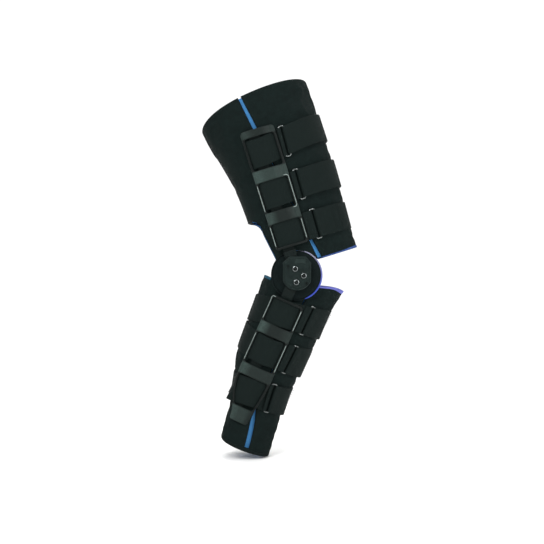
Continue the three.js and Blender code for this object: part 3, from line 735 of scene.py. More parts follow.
def wrap_panel(leg, part, around, cutters, shell=None, step=5.0):
    """A padded panel: black pile outside, blue lining inside, and blue foam along its cut edges."""
    degrees, z, to_side, to_end = panel_grid(leg, around, step)
    depth = np.zeros(z.shape) if shell is None else shell(degrees)
    profile = rounded(to_side, FOAM_ROUND) * rounded(to_end, FOAM_ROUND)
    outer = leg.point(z, degrees, -depth - FOAM / 2 * (1 - profile))
    inner = leg.point(z, degrees, -depth - FOAM + (FOAM / 2 - 0.1) * (1 - profile))
    uv = np.stack([degrees * leg.degree_size(z, 90.0), z], -1) * MM
    flip = leg.up > 0
    piece, outer_faces = closed_sheet(f"{leg.body}_soft_{part}", outer, inner, uv, flip)
    for material in (LAMINATE, LINING, FOAM_BLUE):
        piece.data.materials.append(material)
    near_edge = (np.minimum(to_side, to_end) < 0.5).ravel()
    for index, face in enumerate(piece.data.polygons):
        cut = all(near_edge[v % near_edge.size] for v in face.vertices)
        on_rim = index >= 2 * outer_faces
        face.material_index = 2 if on_rim or (cut and index >= outer_faces) else int(index >= outer_faces)
    pressed = held_down(leg, z, degrees)
    at_edge = 1 - smoothstep(np.minimum(to_side, to_end), 3, 16)
    held = np.maximum(pressed, at_edge).ravel()
    relax(piece, np.concatenate([held, np.ones(held.size)]), 1.6)
    add_modifier(piece, "SUBSURF", levels=1, render_levels=1)
    for cutter in cutters:
        add_modifier(piece, "BOOLEAN", operation="DIFFERENCE", solver="EXACT", object=cutter)
    apply_modifiers(piece)
    piece.data.set_sharp_from_angle(angle=math.radians(50))
    finish_piece(piece, leg.body, "black_laminate", replaces=[f"{leg.body}_{part}"])


def dipped(degrees):
    """How far the medial flap dips, to pass under the end of the lateral flap."""
    return FLAP_DIP * (1 - smoothstep(degrees, FLAP_END + 2, FLAP_END + 14))


def slit_edge(leg, way):
    """The angle of a slit's rear edge (way -1) or its front edge (way 1), as a function of z."""

    def edge(z):
        forward, half_gap = SLITS[leg.body](z)
        return leg.angle_at(z, forward + way * half_gap)

    return edge


def add_wraps(leg):
    rear, front = slit_edge(leg, -1), slit_edge(leg, 1)
    cutters = cutters_for(leg)
    wrap_panel(leg, "wrap_back", (lambda z: rear(z) - 360, lambda z: -rear(z)), cutters)
    wrap_panel(leg, "flap_lateral", (lambda z: -front(z), lambda z: FLAP_END + 0 * z), cutters)
    wrap_panel(leg, "flap_medial", (lambda z: -FLAP_END + 0 * z, front), cutters, dipped)
    for side, sign in SIDES.items():
        add_gusset(leg, side, sign, cutters)
    for cutter in cutters:
        bpy.data.objects.remove(cutter)


def add_gusset(leg, side, sign, cutters):
    """The stretch strip behind a slit: thin knit with fine lengthways pleats."""
    half = 15
    slit = SLITS[leg.body]
    around = [lambda z, way=way: sign * leg.angle_at(z, slit(z)[0] + way * half) for way in (sign, -sign)]
    degrees, z, to_side, _ = panel_grid(leg, around, 2.0, 2.0)
    across = to_side.max() - to_side
    pleat = 0.25 * np.cos(across * 2 * math.pi / 3)
    outer = leg.point(z, degrees, -FOAM - 0.95 + pleat)
    inner = leg.point(z, degrees, -FOAM - 1.75 + pleat)
    uv = np.stack([degrees * leg.degree_size(z, 90.0), z], -1) * MM
    piece, _ = closed_sheet(f"{leg.body}_slit_{side}", outer, inner, uv, leg.up > 0)
    piece.data.materials.append(LINING)
    for cutter in cutters:
        add_modifier(piece, "BOOLEAN", operation="DIFFERENCE", solver="EXACT", object=cutter)
    apply_modifiers(piece)
    finish_piece(piece, leg.body, "blue_lining", replaces=[f"{leg.body}_gusset_{side}"])


def binding(name, leg, path, cover, material, slot, flip=False, shell=None):
    """A tape folded over a wrap's edge. path holds places of (z, degrees) along the edge.

    cover is how much of the wrap the tape covers, at the side of the leg and at its front.
    """
    z, degrees = np.array(path, float).T
    cover = lerp(*cover, smoothstep(np.cos(np.radians(degrees)), 0.7, 1))
    size = leg.degree_size(z, 90.0)
    step_z, step_round = np.gradient(z), np.gradient(degrees) * size
    length = np.hypot(step_z, step_round)
    way = -1 if flip else 1
    inwards_z, inwards_round = way * step_round / length, -way * step_z / length
    depth = np.zeros(z.size) if shell is None else shell(degrees)
    half = [(cover, 0.1), (cover - 0.3, 0.45), (0.6, 0.6), (-0.4, 0.4), (-0.9, -0.5), (-1.05, -FOAM / 2)]
    profile = half + [(d, -FOAM - h) for d, h in reversed(half[:-1])]
    rings = [leg.point(z + inwards_z * d, degrees + inwards_round * d / size, h - depth) for d, h in profile]
    points = np.stack(rings, 1)
    stations, count = points.shape[:2]
    faces = []
    for i in range(stations - 1):
        for k in range(count):
            m = (k + 1) % count
            faces.append((i * count + k, i * count + m, (i + 1) * count + m, (i + 1) * count + k))
    faces += [tuple(range(count)), tuple(range(stations * count - 1, (stations - 1) * count - 1, -1))]
    if (leg.up > 0) == flip:
        faces = [face[::-1] for face in faces]
    piece = mesh_object(name, points.reshape(-1, 3), faces)
    return finish_piece(piece, leg.body, slot, material)


def edge_path(leg, end, start_degrees, end_degrees, steps=60):
    """Places along the knee end (0) or the far end (1) of a leg's wraps."""
    degrees = np.linspace(start_degrees, end_degrees, steps)
    return [(float(EDGES[leg.body](0, d)[end]), d) for d in degrees]


def add_bindings():
    """The blue and lavender tapes round the knee opening, and the black hem at the ankle."""
    thigh_start = float(slit_edge(THIGH, 1)(THIGH_BOTTOM))
    clear = PAD_RADIUS + CALF_GAP + 0.6
    calf_start = float(CALF.angle_at(-4, clear))
    for leg, start, cover, material in (
            (THIGH, thigh_start, (1.3, 3.2), BLUE_TAPE), (CALF, calf_start, (2.2, 5.6), LAVENDER_TAPE)):
        name = leg.body
        binding(f"{name}_tape_lateral", leg, edge_path(leg, 0, -start, FLAP_END), cover, material,
                "blue_lining")
        binding(f"{name}_tape_medial", leg, edge_path(leg, 0, -FLAP_END, start), cover, material,
                "blue_lining", shell=dipped)
    rear_start = float(CALF.angle_at(22, -math.sqrt(clear**2 - 22**2)))
    binding("calf_tape_rear", CALF, edge_path(CALF, 0, rear_start - 360, -rear_start), (3.4, 3.4), TEAL_TAPE, "blue_lining")
    half = [(z, float(THIGH.angle_at(z, x))) for x, z in hollow_edge()[2:-1]]
    path = [(z, a - 360) for z, a in half] + [(HOLLOW_TOP, -180.0)] + [(z, -a) for z, a in reversed(half)]
    binding("thigh_tape_hollow", THIGH, path, (1.6, 1.6), WEBBING, "black_webbing")
    binding("calf_hem", CALF, edge_path(CALF, 1, FLAP_END, FLAP_END + 14 - 360, 120), (5.5, 5.5), WEBBING, "black_webbing")
    binding("calf_hem_medial", CALF, edge_path(CALF, 1, FLAP_END + 14, -FLAP_END, 30), (5.5, 5.5), WEBBING,
            "black_webbing", shell=dipped)


# ---- Straps and rings --------------------------------------------------------------------------


def strap_middle(strap, degrees):
    forward = np.cos(np.radians(degrees))
    return strap["z"] + strap["front"] * np.maximum(0, forward) + strap["back"] * np.maximum(0, -forward)


def ribbon(name, leg, strap, degrees, lifts, square_end=False):
    """A strap along stations round a leg. lifts are heights above its resting place."""
    degrees, lifts = np.asarray(degrees, float), np.asarray(lifts, float)
    across = (spaced(STRAP_WIDTH, 7, (0.25, 0.6, 1.2, 2.4)) - 0.5)[:, None]
    step = float(leg.degree_size(strap["z"], 90.0))
    run = np.concatenate([[0], np.cumsum(np.hypot(np.diff(degrees) * step, np.diff(lifts)))])
    corner = 5.0
    to_end = np.minimum(run[-1] - run, corner)
    narrow = 1 - (corner - np.sqrt(corner**2 - (corner - to_end) ** 2)) / (STRAP_WIDTH / 2)
    if square_end:
        narrow = np.ones(run.size)
    width = STRAP_WIDTH + 2 * strap["wider"] * np.maximum(0, np.cos(np.radians(degrees))) ** 2
    offset = across * (width * narrow)[None, :]
    z = strap_middle(strap, degrees)[None, :] + offset
    spread = np.broadcast_to(degrees[None, :], z.shape)
    sunk = strap["sunk"] * (0.5 - across) * smoothstep(np.cos(np.radians(spread)), 0.5, 0.95)
    centre_height = STRAP_REST + STRAP_THICK / 2 + leg.over_arm(z, spread) + lifts[None, :] - sunk
    centre = leg.point(z, spread, centre_height)
    along = np.gradient(centre, axis=1)
    wide = np.gradient(centre, axis=0)
    normal = np.cross(wide, along)
    normal /= np.linalg.norm(normal, axis=-1, keepdims=True)
    outward = leg.point(z[0], degrees, 5.0)[0] - leg.point(z[0], degrees, 0.0)[0]
    if np.dot(normal[0, 0], outward) < 0:
        normal = -normal
    edge = rounded((0.5 - np.abs(across)) * STRAP_WIDTH, 1.0)
    crown = 0.94 + 0.06 * np.cos(across * math.pi)
    end = rounded(run[-1] - run + 0.15, 1.0)[None, :] * rounded(run + 0.15, 1.0)[None, :]
    half = STRAP_THICK / 2 * (edge * crown * end + 0.08)[..., None] * MM
    uv = np.stack([np.broadcast_to(run[None, :], z.shape), offset], -1) * MM
    flip = bool(np.dot(np.cross(wide[0, 0], along[0, 0]), normal[0, 0]) > 0)
    piece, _ = closed_sheet(name, centre + normal * half, centre - normal * half, uv, flip)
    add_modifier(piece, "SUBSURF", levels=1, render_levels=1)
    return piece


def loop_round(leg, strap, wire_at, from_front):
    """Stations of a half turn round a ring wire, from under it to over it."""
    step = float(leg.degree_size(strap["z"], 90.0))
    centre = -float(leg.side_angle(strap["z"], wire_at))
    middle_height = RING_REST + RING_WIRE / 2 - STRAP_REST - STRAP_THICK / 2
    radius = RING_WIRE / 2 + STRAP_THICK / 2 + 0.1
    turn = np.radians(np.linspace(-90, 90, 9))
    way = -1 if from_front else 1
    return centre + way * radius * np.cos(turn) / step, middle_height + radius * np.sin(turn)


def front_strap(leg, number, strap):
    """Over the front of the leg, through the ring, and back on itself."""
    start = float(leg.side_angle(strap["z"], -FRAME_HALF + 8))
    around, height = loop_round(leg, strap, RING_BACK + strap["ring"] + RING_WIDE - RING_WIRE / 2, True)
    ring_at = around[0]
    there = np.linspace(start, ring_at, 60)[:-1]
    back = np.linspace(ring_at, strap["fold"], 44)[1:]
    settle = lambda degrees, high: lerp(high, 0, smoothstep(degrees - ring_at, 0, 9))
    lifts = [settle(there, height[0]), height, FOLD_LIFT + settle(back, height[-1] - FOLD_LIFT)]
    piece = ribbon(f"{leg.body}_strap_web_{number}", leg, strap, np.concatenate([there, around, back]),
                   np.concatenate(lifts))
    finish_piece(piece, leg.body, "black_webbing", WEBBING, replaces=[f"{leg.body}_strap_{number}"])
    tab_stitches(leg, strap, number, strap["fold"])


def ring_strap(leg, number, strap):
    """The strap that holds a ring: short on the thigh, and round the back of the leg on the calf."""
    around, height = loop_round(leg, strap, RING_BACK + strap["ring"] + RING_WIRE / 2, False)
    ring_at = around[0]
    if leg is THIGH:
        start = -float(leg.side_angle(strap["z"], -FRAME_HALF + 4))
        cad_name = f"thigh_ring_tab_{number}"
    else:
        start = float(leg.side_angle(strap["z"], -FRAME_HALF + 4)) - 360
        cad_name = f"calf_back_strap_{number}"
    there = np.linspace(start, ring_at, 30 if leg is THIGH else 72)[:-1]
    end = -float(leg.side_angle(strap["z"], FRAME_HALF + 1.5))
    back = np.linspace(ring_at, end, 8)[1:]
    settle = lambda degrees, high: lerp(high, 0, smoothstep(ring_at - degrees, 0, 5))
    lifts = [settle(there, height[0]), height, FOLD_LIFT + settle(back, height[-1] - FOLD_LIFT)]
    piece = ribbon(cad_name.replace("ring_tab", "ring_web").replace("back_strap", "back_web"), leg, strap,
                   np.concatenate([there, around, back]), np.concatenate(lifts), square_end=True)
    finish_piece(piece, leg.body, "black_webbing", WEBBING, replaces=[cad_name])


def stitch_line(name, leg, places, body, heading):
    """Short raised stitches, each a small capsule, at places of (z, degrees, height)."""
    length, radius = 2.6, 0.33
    ring = [(math.cos(t), math.sin(t)) for t in np.linspace(0, 2 * math.pi, 6, endpoint=False)]
    profile = [(-0.5, 0.35), (-0.35, 1), (0.35, 1), (0.5, 0.35)]
    points, faces = [], []
    for z, degrees, height in places:
        centre = leg.point(z, degrees, height)
        up = leg.point(z, degrees, height + 1) - centre
        along = leg.point(z + (heading == "z") * 1.0, degrees + (heading == "round") * 1.0, height) - centre
        up /= np.linalg.norm(up)
        along /= np.linalg.norm(along)
        side = np.cross(up, along)
        start = len(points)
        for where, thick in profile:
            for a, b in ring:
                offset = along * where * length + (side * a + up * b) * radius * thick
                points.append(centre + offset * MM)
        for k in range(len(profile) - 1):
            for m in range(6):
                a, b = start + k * 6 + m, start + k * 6 + (m + 1) % 6
                faces.append((a, b, b + 6, a + 6))
        faces.append(tuple(range(start + 5, start - 1, -1)))
        faces.append(tuple(range(start + 18, start + 24)))
    piece = mesh_object(name, points, faces)
    return finish_piece(piece, body, "black_webbing", THREAD)


def tab_stitches(leg, strap, number, end):
    """Two rows across the loose end of a strap, where its hook patch is sewn on."""
    places = []
    top = STRAP_REST + STRAP_THICK + FOLD_LIFT
    for inset in (3.0, 15.0):
        degrees = end - inset / float(leg.degree_size(strap["z"], 10.0))
        middle = float(strap_middle(strap, degrees))
        for offset in np.arange(-STRAP_WIDTH / 2 + 4, STRAP_WIDTH / 2 - 3, 3.8):
            places.append((middle + offset, degrees, top))
    stitch_line(f"{leg.body}_strap_stitches_{number}", leg, places, leg.body, "z")


def rounded_rectangle(wide, tall, corner, steps=6):
    points = []
    for x, y, start in ((1, 1, 0), (-1, 1, 90), (-1, -1, 180), (1, -1, 270)):
        for t in np.radians(np.linspace(start, start + 90, steps)):
            points.append((x * (wide / 2 - corner) + corner * math.cos(t),
                           y * (tall / 2 - corner) + corner * math.sin(t)))
    return points


def ring(leg, number, strap):
    """A rectangular ring of round wire, lying on the leg in front of the lateral frame."""
    tall = STRAP_WIDTH + 2 * RING_WIRE + 1
    angle = -float(leg.side_angle(strap["z"], RING_BACK + strap["ring"] + RING_WIDE / 2))
    z = float(strap_middle(strap, angle))
    height = RING_REST + RING_WIRE / 2
    centre = leg.point(z, angle, height)
    outwards = centre - leg.point(z, angle, height - 1)
    lengthways = leg.point(z + 5, angle) - leg.point(z - 5, angle)
    outwards /= np.linalg.norm(outwards)
    lengthways /= np.linalg.norm(lengthways)
    across = np.cross(lengthways, outwards)
    outline = rounded_rectangle(RING_WIDE - RING_WIRE, tall - RING_WIRE, 2.2)
    curve = bpy.data.curves.new(f"{leg.body}_ring_wire_{number}", "CURVE")
    curve.dimensions = "3D"
    curve.bevel_depth = RING_WIRE / 2 * MM
    curve.bevel_resolution = 4
    spline = curve.splines.new("POLY")
    spline.points.add(len(outline) - 1)
    for point, (x, y) in zip(spline.points, outline):
        point.co = (*(centre + (across * x + lengthways * y) * MM), 1)
    spline.use_cyclic_u = True
    piece = bpy.data.objects.new(curve.name, curve)
    bpy.context.scene.collection.objects.link(piece)
    piece = to_mesh(piece)
    finish_piece(piece, leg.body, "ring_steel", RING_METAL, replaces=[f"{leg.body}_ring_{number}"])


def to_mesh(curve_object):
    """Turns a curve object into a mesh object of the same name."""
    bpy.context.view_layer.update()
    evaluated = curve_object.evaluated_get(bpy.context.evaluated_depsgraph_get())
    mesh = bpy.data.meshes.new_from_object(evaluated)
    name = curve_object.name
    bpy.data.objects.remove(curve_object)
    piece = bpy.data.objects.new(name, mesh)
    bpy.context.scene.collection.objects.link(piece)
    mesh.polygons.foreach_set("use_smooth", [True] * len(mesh.polygons))
    return piece


# ---- Ladder frames -----------------------------------------------------------------------------


def flat_plate(name, outlines, half_thick, bevel):
    """A plate in the XY plane from closed outlines, the first outer and the rest holes."""
    curve = bpy.data.curves.new(name, "CURVE")
    curve.dimensions = "2D"
    curve.fill_mode = "BOTH"
    curve.extrude = half_thick - bevel
    curve.bevel_depth = bevel
    curve.bevel_resolution = 2
    curve.offset = -bevel
    for outline in outlines:
        spline = curve.splines.new("POLY")
        spline.points.add(len(outline) - 1)
        for point, (x, y) in zip(spline.points, outline):
            point.co = (x, y, 0, 1)
        spline.use_cyclic_u = True
    piece = bpy.data.objects.new(name, curve)
    bpy.context.scene.collection.objects.link(piece)
    return to_mesh(piece)


def window_spans(leg):
    """Where each window of a ladder frame starts and ends along the leg."""
    starts = [leg.frame_start + 4] + [z + RUNG / 2 for z in leg.rungs[:2]]
    ends = [z - RUNG / 2 for z in leg.rungs[:2]] + [leg.rungs[2] - leg.last_rung / 2]
    return list(zip(starts, ends))


def frame_place(leg, across, z):
    """Where a place across a straight frame lies once the frame is narrowed towards its far end."""
    rear, front = (taper * smoothstep(z, 175, 250) for taper in leg.frame_taper)
    return lerp(rear - FRAME_HALF, FRAME_HALF - front, (across + FRAME_HALF) / (2 * FRAME_HALF))


def frame_base(leg, z, degrees):
    """How far a ladder frame's inner face is from the wrap under it."""
    settled = 1 - leg.frame_settle * smoothstep(z, 229, 258)
    return settled * (STRAP_REST + STRAP_THICK + FRAME_CLEAR + leg.over_arm(z, degrees))


def lay_on_leg(piece, leg, sign):
    """Bends a flat piece onto a leg: x is round the leg, y along it and z above the frame's base."""
    x, y, height = coordinates(piece).T
    degrees = sign * leg.side_angle(y, frame_place(leg, x, y))
    piece.data.vertices.foreach_set("co", leg.point(y, degrees, height + frame_base(leg, y, degrees)).ravel())
    # The map's second number is a painted highlight on each rung, standing in for the lamps' reflections.
    pale = np.zeros(y.size)
    for place, tall, shine in zip(leg.rungs, (RUNG, RUNG, leg.last_rung), RUNG_PAINTED_HIGHLIGHT[leg.body]):
        across = np.interp(x, [-19, -7, 11, 22], [shine[0], shine[1], shine[1], shine[2]])
        pale = np.maximum(pale, across * (1 - smoothstep(np.abs(y - place), tall / 2 - 2, tall / 2 + 1)))
    layer = piece.data.uv_layers.new(name="surface")
    loops = np.zeros(len(piece.data.loops), int)
    piece.data.loops.foreach_get("vertex_index", loops)
    layer.data.foreach_set("uv", np.stack([x * MM, pale], -1)[loops].ravel())
    if (leg.up > 0) != (sign > 0):
        piece.data.flip_normals()
    piece.data.update()


def add_frame(leg, side, sign):
    """A moulded plate with rounded windows and slightly dished rungs."""
    start, end = leg.frame_start, leg.rungs[-1] + leg.last_rung / 2
    outline = [(x, y + (start + end) / 2) for x, y in rounded_rectangle(2 * FRAME_HALF, end - start, 6)]
    windows = []
    for low, high in window_spans(leg):
        inner = rounded_rectangle(2 * (FRAME_HALF - RAIL_WIDTH), high - low, 3)
        windows.append([(x, y + (low + high) / 2) for x, y in inner])
    plate = flat_plate(f"{leg.body}_ladder_{side}", [outline, *windows], FRAME_THICK / 2, 0.5)
    add_modifier(plate, "REMESH", mode="VOXEL", voxel_size=0.9)
    add_modifier(plate, "SMOOTH", factor=0.5, iterations=3)
    apply_modifiers(plate)
    points = coordinates(plate)
    inside = 1 - smoothstep(np.abs(points[:, 0]), FRAME_HALF - 9, FRAME_HALF - 4)
    points[:, 2] += FRAME_THICK / 2 - 0.8 * inside * (points[:, 2] > 0)
    plate.data.vertices.foreach_set("co", points.ravel())
    lay_on_leg(plate, leg, sign)
    finish_piece(plate, leg.body, "frame_plastic", FRAME_PLASTIC, replaces=[f"{leg.body}_frame_{side}"])
    # Painted highlights: pale beads only along the two windows nearest the knee.
    for number, span in enumerate(window_spans(leg)[:2], 1):
        for place, way in (("rear", -1), ("front", 1)):
            name = f"{leg.body}_bead_{side}_{number}_{place}"
            add_bead(name, leg, sign, way, span, HOOKS.get((leg.body, number, place), ()))


def add_bead(name, leg, sign, way, span, hooks):
    """A glossy bead along one side of a window. Its pale colour is a painted highlight, standing in for the light on
    the window's edge. hooks names its ends that turn inwards.
    """
    edge, corner, hook = FRAME_HALF - RAIL_WIDTH / 2, 3.5, 3.0
    low, high = span
    bend = [(edge - corner + corner * math.cos(t), corner * (1 - math.sin(t)))
            for t in np.radians(np.linspace(90, 15, 6))]
    bend = [(edge - corner - hook, 0.0), *bend]
    path = [(edge, y) for y in np.linspace(low + 3, high - 3, 15)]
    if "near" in hooks:
        path = [(x, low - 2 + y) for x, y in bend] + path
    if "far" in hooks:
        path += [(x, high + 2 - y) for x, y in reversed(bend)]
    curve = bpy.data.curves.new(name, "CURVE")
    curve.dimensions = "3D"
    curve.bevel_depth = BEAD_RADIUS * MM
    curve.bevel_resolution = 4
    curve.use_fill_caps = True
    spline = curve.splines.new("POLY")
    spline.points.add(len(path) - 1)
    for index, (point, (x, y)) in enumerate(zip(spline.points, path)):
        degrees = sign * leg.side_angle(y, frame_place(leg, way * x, y))
        height = frame_base(leg, y, degrees) + FRAME_THICK - 0.1
        point.co = (*leg.point(y, degrees, height), 1)
        point.radius = 0.5 if index in (0, len(path) - 1) else 1
    piece = bpy.data.objects.new(name, curve)
    bpy.context.scene.collection.objects.link(piece)
    finish_piece(to_mesh(piece), leg.body, "frame_plastic", BEAD_HIGHLIGHT_PLASTIC)


# ---- Hinges ------------------------------------------------------------------------------------


def lathe(name, profile, centre, out, segments=72):
    """Turns a profile of (radius, distance outwards) about an axis along Y."""
    points, faces = [], []
    for radius, distance in profile:
        for t in np.linspace(0, 2 * math.pi, segments, endpoint=False):
            points.append((centre.x + radius * MM * math.cos(t), centre.y + out * distance * MM,
                           centre.z + radius * MM * math.sin(t)))
    for k in range(len(profile) - 1):
        for m in range(segments):
            a, b = k * segments + m, k * segments + (m + 1) % segments
            quad = (a, b, b + segments, a + segments)
            faces.append(quad if out > 0 else quad[::-1])
    first = tuple(range(segments))
    last = tuple(range((len(profile) - 1) * segments, len(profile) * segments))
    faces.append(first[::-1] if out > 0 else first)
    faces.append(last if out > 0 else last[::-1])
    piece = mesh_object(name, points, faces)
    piece.data.set_sharp_from_angle(angle=math.radians(40))
    return piece


def middle(node):
    low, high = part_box(node)
    return (low + high) / 2


def faces_of(node, out):
    """How far a node's inner and outer faces are from the row's XZ plane, outwards, in millimetres."""
    low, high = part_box(node)
    return sorted((out * low.y / MM, out * high.y / MM))


def hinge_centre(distance, out, at=None):
    at = at or Vector((0, 0, 0))
    return Vector((at.x, out * distance * MM, at.z))


def add_pad(side, out):
    """A cushion behind the hinge: black cloth, and a pale piping that shows along its front half."""
    near, far = faces_of(f"{side}_condyle_pad", out)
    thick = far - near
    radius = PAD_RADIUS - 0.8
    profile = [(0.4, 0.6), (radius * 0.5, 0.5), (radius - 5, 0.9), (radius - 1.5, 2.4), (radius, thick * 0.45),
               (radius - 0.8, thick - 3), (radius - 3.5, thick - 1.1), (radius * 0.5, thick - 0.8), (0.4, thick - 0.8)]
    piece = lathe(f"{side}_knee_pad", profile, hinge_centre(near, out), out, 64)
    add_modifier(piece, "REMESH", mode="VOXEL", voxel_size=0.0026)
    apply_modifiers(piece)
    points = coordinates(piece)
    across = np.hypot(points[:, 0], points[:, 2]) / MM
    distance = out * points[:, 1] / MM - near
    on_hinge = (distance > thick - 2.5) * (across < 26)
    on_knee = distance < 1.5
    relax(piece, np.maximum(on_hinge, on_knee).astype(float), 1.0, 4.0, 20, 0.0)
    points = coordinates(piece)
    low, high = (near + 0.05) * MM, (far - 0.05) * MM
    points[:, 1] = np.clip(out * points[:, 1], low, high) * out
    spread = np.hypot(points[:, 0], points[:, 2])
    points[:, [0, 2]] *= np.minimum(1, (PAD_RADIUS - 0.2) * MM / np.maximum(spread, 1e-9))[:, None]
    piece.data.vertices.foreach_set("co", points.ravel())
    add_modifier(piece, "SUBSURF", levels=1, render_levels=1)
    piece.data.polygons.foreach_set("use_smooth", [True] * len(piece.data.polygons))
    finish_piece(piece, "thigh", "pad_foam", PAD_CLOTH, replaces=[f"{side}_condyle_pad"])
    cords = (("piping", 0.79, (-76, -58, 70, 112), PIPING), ("edge", 0.7, (90, 125, 284, 302), PAD_CLOTH))
    for name, depth, turns, cloth in cords:
        cord = add_piping(f"{side}_pad_{name}", hinge_centre(near + thick * depth, out), turns)
        finish_piece(cord, "thigh", "pad_foam", cloth)


def add_piping(name, centre, turns, segments=120, count=12):
    """A cord round part of the pad. turns are the angles where it starts, is full, thins and ends."""
    start, full, thins, end = turns
    points, faces = [], []
    for t in np.linspace(start, end, segments):
        thick = 0.15 + 1.2 * float(smoothstep(t, start, full) * (1 - smoothstep(t, thins, end)))
        turn = math.radians(t)
        for k in np.linspace(0, 2 * math.pi, count, endpoint=False):
            radius = PAD_RADIUS - 0.2 + thick * (math.cos(k) - 0.3)
            points.append((centre.x + radius * MM * math.cos(turn), centre.y + 1.5 * thick * MM * math.sin(k),
                           centre.z + radius * MM * math.sin(turn)))
    for m in range(segments - 1):
        for k in range(count):
            a, b = m * count + k, m * count + (k + 1) % count
            faces.append((a, a + count, b + count, b))
    faces += [tuple(range(count)), tuple(range(segments * count - 1, (segments - 1) * count - 1, -1))]
    return mesh_object(name, points, faces)


def circle(x, y, radius, steps=28):
    return [(x + radius * math.cos(t), y + radius * math.sin(t))
            for t in np.linspace(0, 2 * math.pi, steps, endpoint=False)]


def stand_up(piece, distance, out):
    """Turns a flat plate to face outwards, at a distance from the row's XZ plane."""
    turn = Matrix(((1, 0, 0, 0), (0, 0, -1, 0), (0, 1, 0, 0), (0, 0, 0, 1)))
    piece.data.transform(Matrix.Scale(MM, 4) @ turn)
    piece.data.transform(Matrix.Translation((0, out * distance * MM, 0)))


def filleted(corners, radius, steps=5):
    """A closed outline with each corner rounded."""
    outline = []
    for (px, py), (x, y), (nx, ny) in zip([corners[-1], *corners], corners, [*corners[1:], corners[0]]):
        before, after = math.hypot(px - x, py - y), math.hypot(nx - x, ny - y)
        reach = min(radius, before / 2, after / 2)
        start = (x + (px - x) * reach / before, y + (py - y) * reach / before)
        end = (x + (nx - x) * reach / after, y + (ny - y) * reach / after)
        for t in np.linspace(0, 1, steps):
            outline.append(tuple((1 - t) ** 2 * a + 2 * t * (1 - t) * b + t * t * c
                                 for a, b, c in zip(start, (x, y), end)))
    return outline


def add_cover(side, out):
    """The dial cover: upright flats, a narrower top, a raised face, and holes for screws and pins."""
    node = f"{side}_dial_cover"
    near, far = faces_of(node, out)
    low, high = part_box(node)
    flat, radius = (high.x - low.x) / 2 / MM, (high.z - low.z) / 2 / MM
    below = [(radius * math.cos(t), radius * math.sin(t)) for t in np.radians(np.linspace(206, 334, 9))]
    corners = [*below, (flat + 1, -8), (flat + 1, 19.5), (15.5, COVER_TOP - 1.5), (13, COVER_TOP),
               (-12.5, COVER_TOP), (-14, COVER_TOP - 2), (-flat - 1, 20.5), (-flat - 1, -8)]
    outline = filleted(corners, 3)
    names = [f"{side}_dial_screw_{i}" for i in (1, 2, 3)]
    names += [f"{side}_extension_stop_pin", f"{side}_flexion_stop_pin"]
    places = [(middle(name).x / MM, middle(name).z / MM) for name in names]
    holes = [circle(x, y, 1.9 if i < 3 else 1.6) for i, (x, y) in enumerate(places)]
    plate = flat_plate(f"{side}_dial_plate", [outline, *holes], (far - near - 1) / 2, 1.1)
    stand_up(plate, (near + far - 1) / 2, out)
    plate.data.set_sharp_from_angle(angle=math.radians(35))
    finish_piece(plate, "thigh", "hinge_plastic", DIAL_PLASTIC, replaces=[node])
    inner = filleted([(x * 0.87, y * 0.87 + 0.6) for x, y in corners], 3)
    face = flat_plate(f"{side}_dial_face", [inner, *holes], 0.8, 0.35)
    stand_up(face, far - 0.9, out)
    face.data.set_sharp_from_angle(angle=math.radians(35))
    finish_piece(face, "thigh", "hinge_plastic", DIAL_PLASTIC)
    tab = filleted([(-3.5, 19), (14.5, 18.5), (12.5, 25.6), (-2.5, 25.6)], 1.6)
    window = flat_plate(f"{side}_dial_window", [tab], 0.5, 0.25)
    stand_up(window, far, out)
    window.data.set_sharp_from_angle(angle=math.radians(35))
    finish_piece(window, "thigh", "hinge_plastic", WINDOW_PLASTIC)
    add_dial_scale(side, out, far, flat)


def add_dial_scale(side, out, face, flat):
    """Plain raised marks round the dial, longer every second one."""
    marks, faces = [], []
    for index, turn in enumerate(range(-165, 16, 15)):
        t = math.radians(turn)
        inner, outer, wide = (18.2 if index % 2 else 17.2), 19.6, 0.3
        if abs(outer * math.cos(t)) > flat - 2.5:
            continue
        start = len(marks)
        for distance in (face - 0.4, face + 0.05):
            for r, w in ((inner, -wide), (outer, -wide), (outer, wide), (inner, wide)):
                marks.append(((r * math.cos(t) - w * math.sin(t)) * MM, out * distance * MM,
                              (r * math.sin(t) + w * math.cos(t)) * MM))
        for quad in ((3, 2, 1, 0), (4, 5, 6, 7), (0, 1, 5, 4), (1, 2, 6, 5), (2, 3, 7, 6), (3, 0, 4, 7)):
            corner = tuple(start + q for q in quad)
            faces.append(corner[::-1] if out > 0 else corner)
    scale = mesh_object(f"{side}_dial_scale", marks, faces, smooth=False)
    finish_piece(scale, "thigh", "hinge_plastic", WINDOW_PLASTIC)


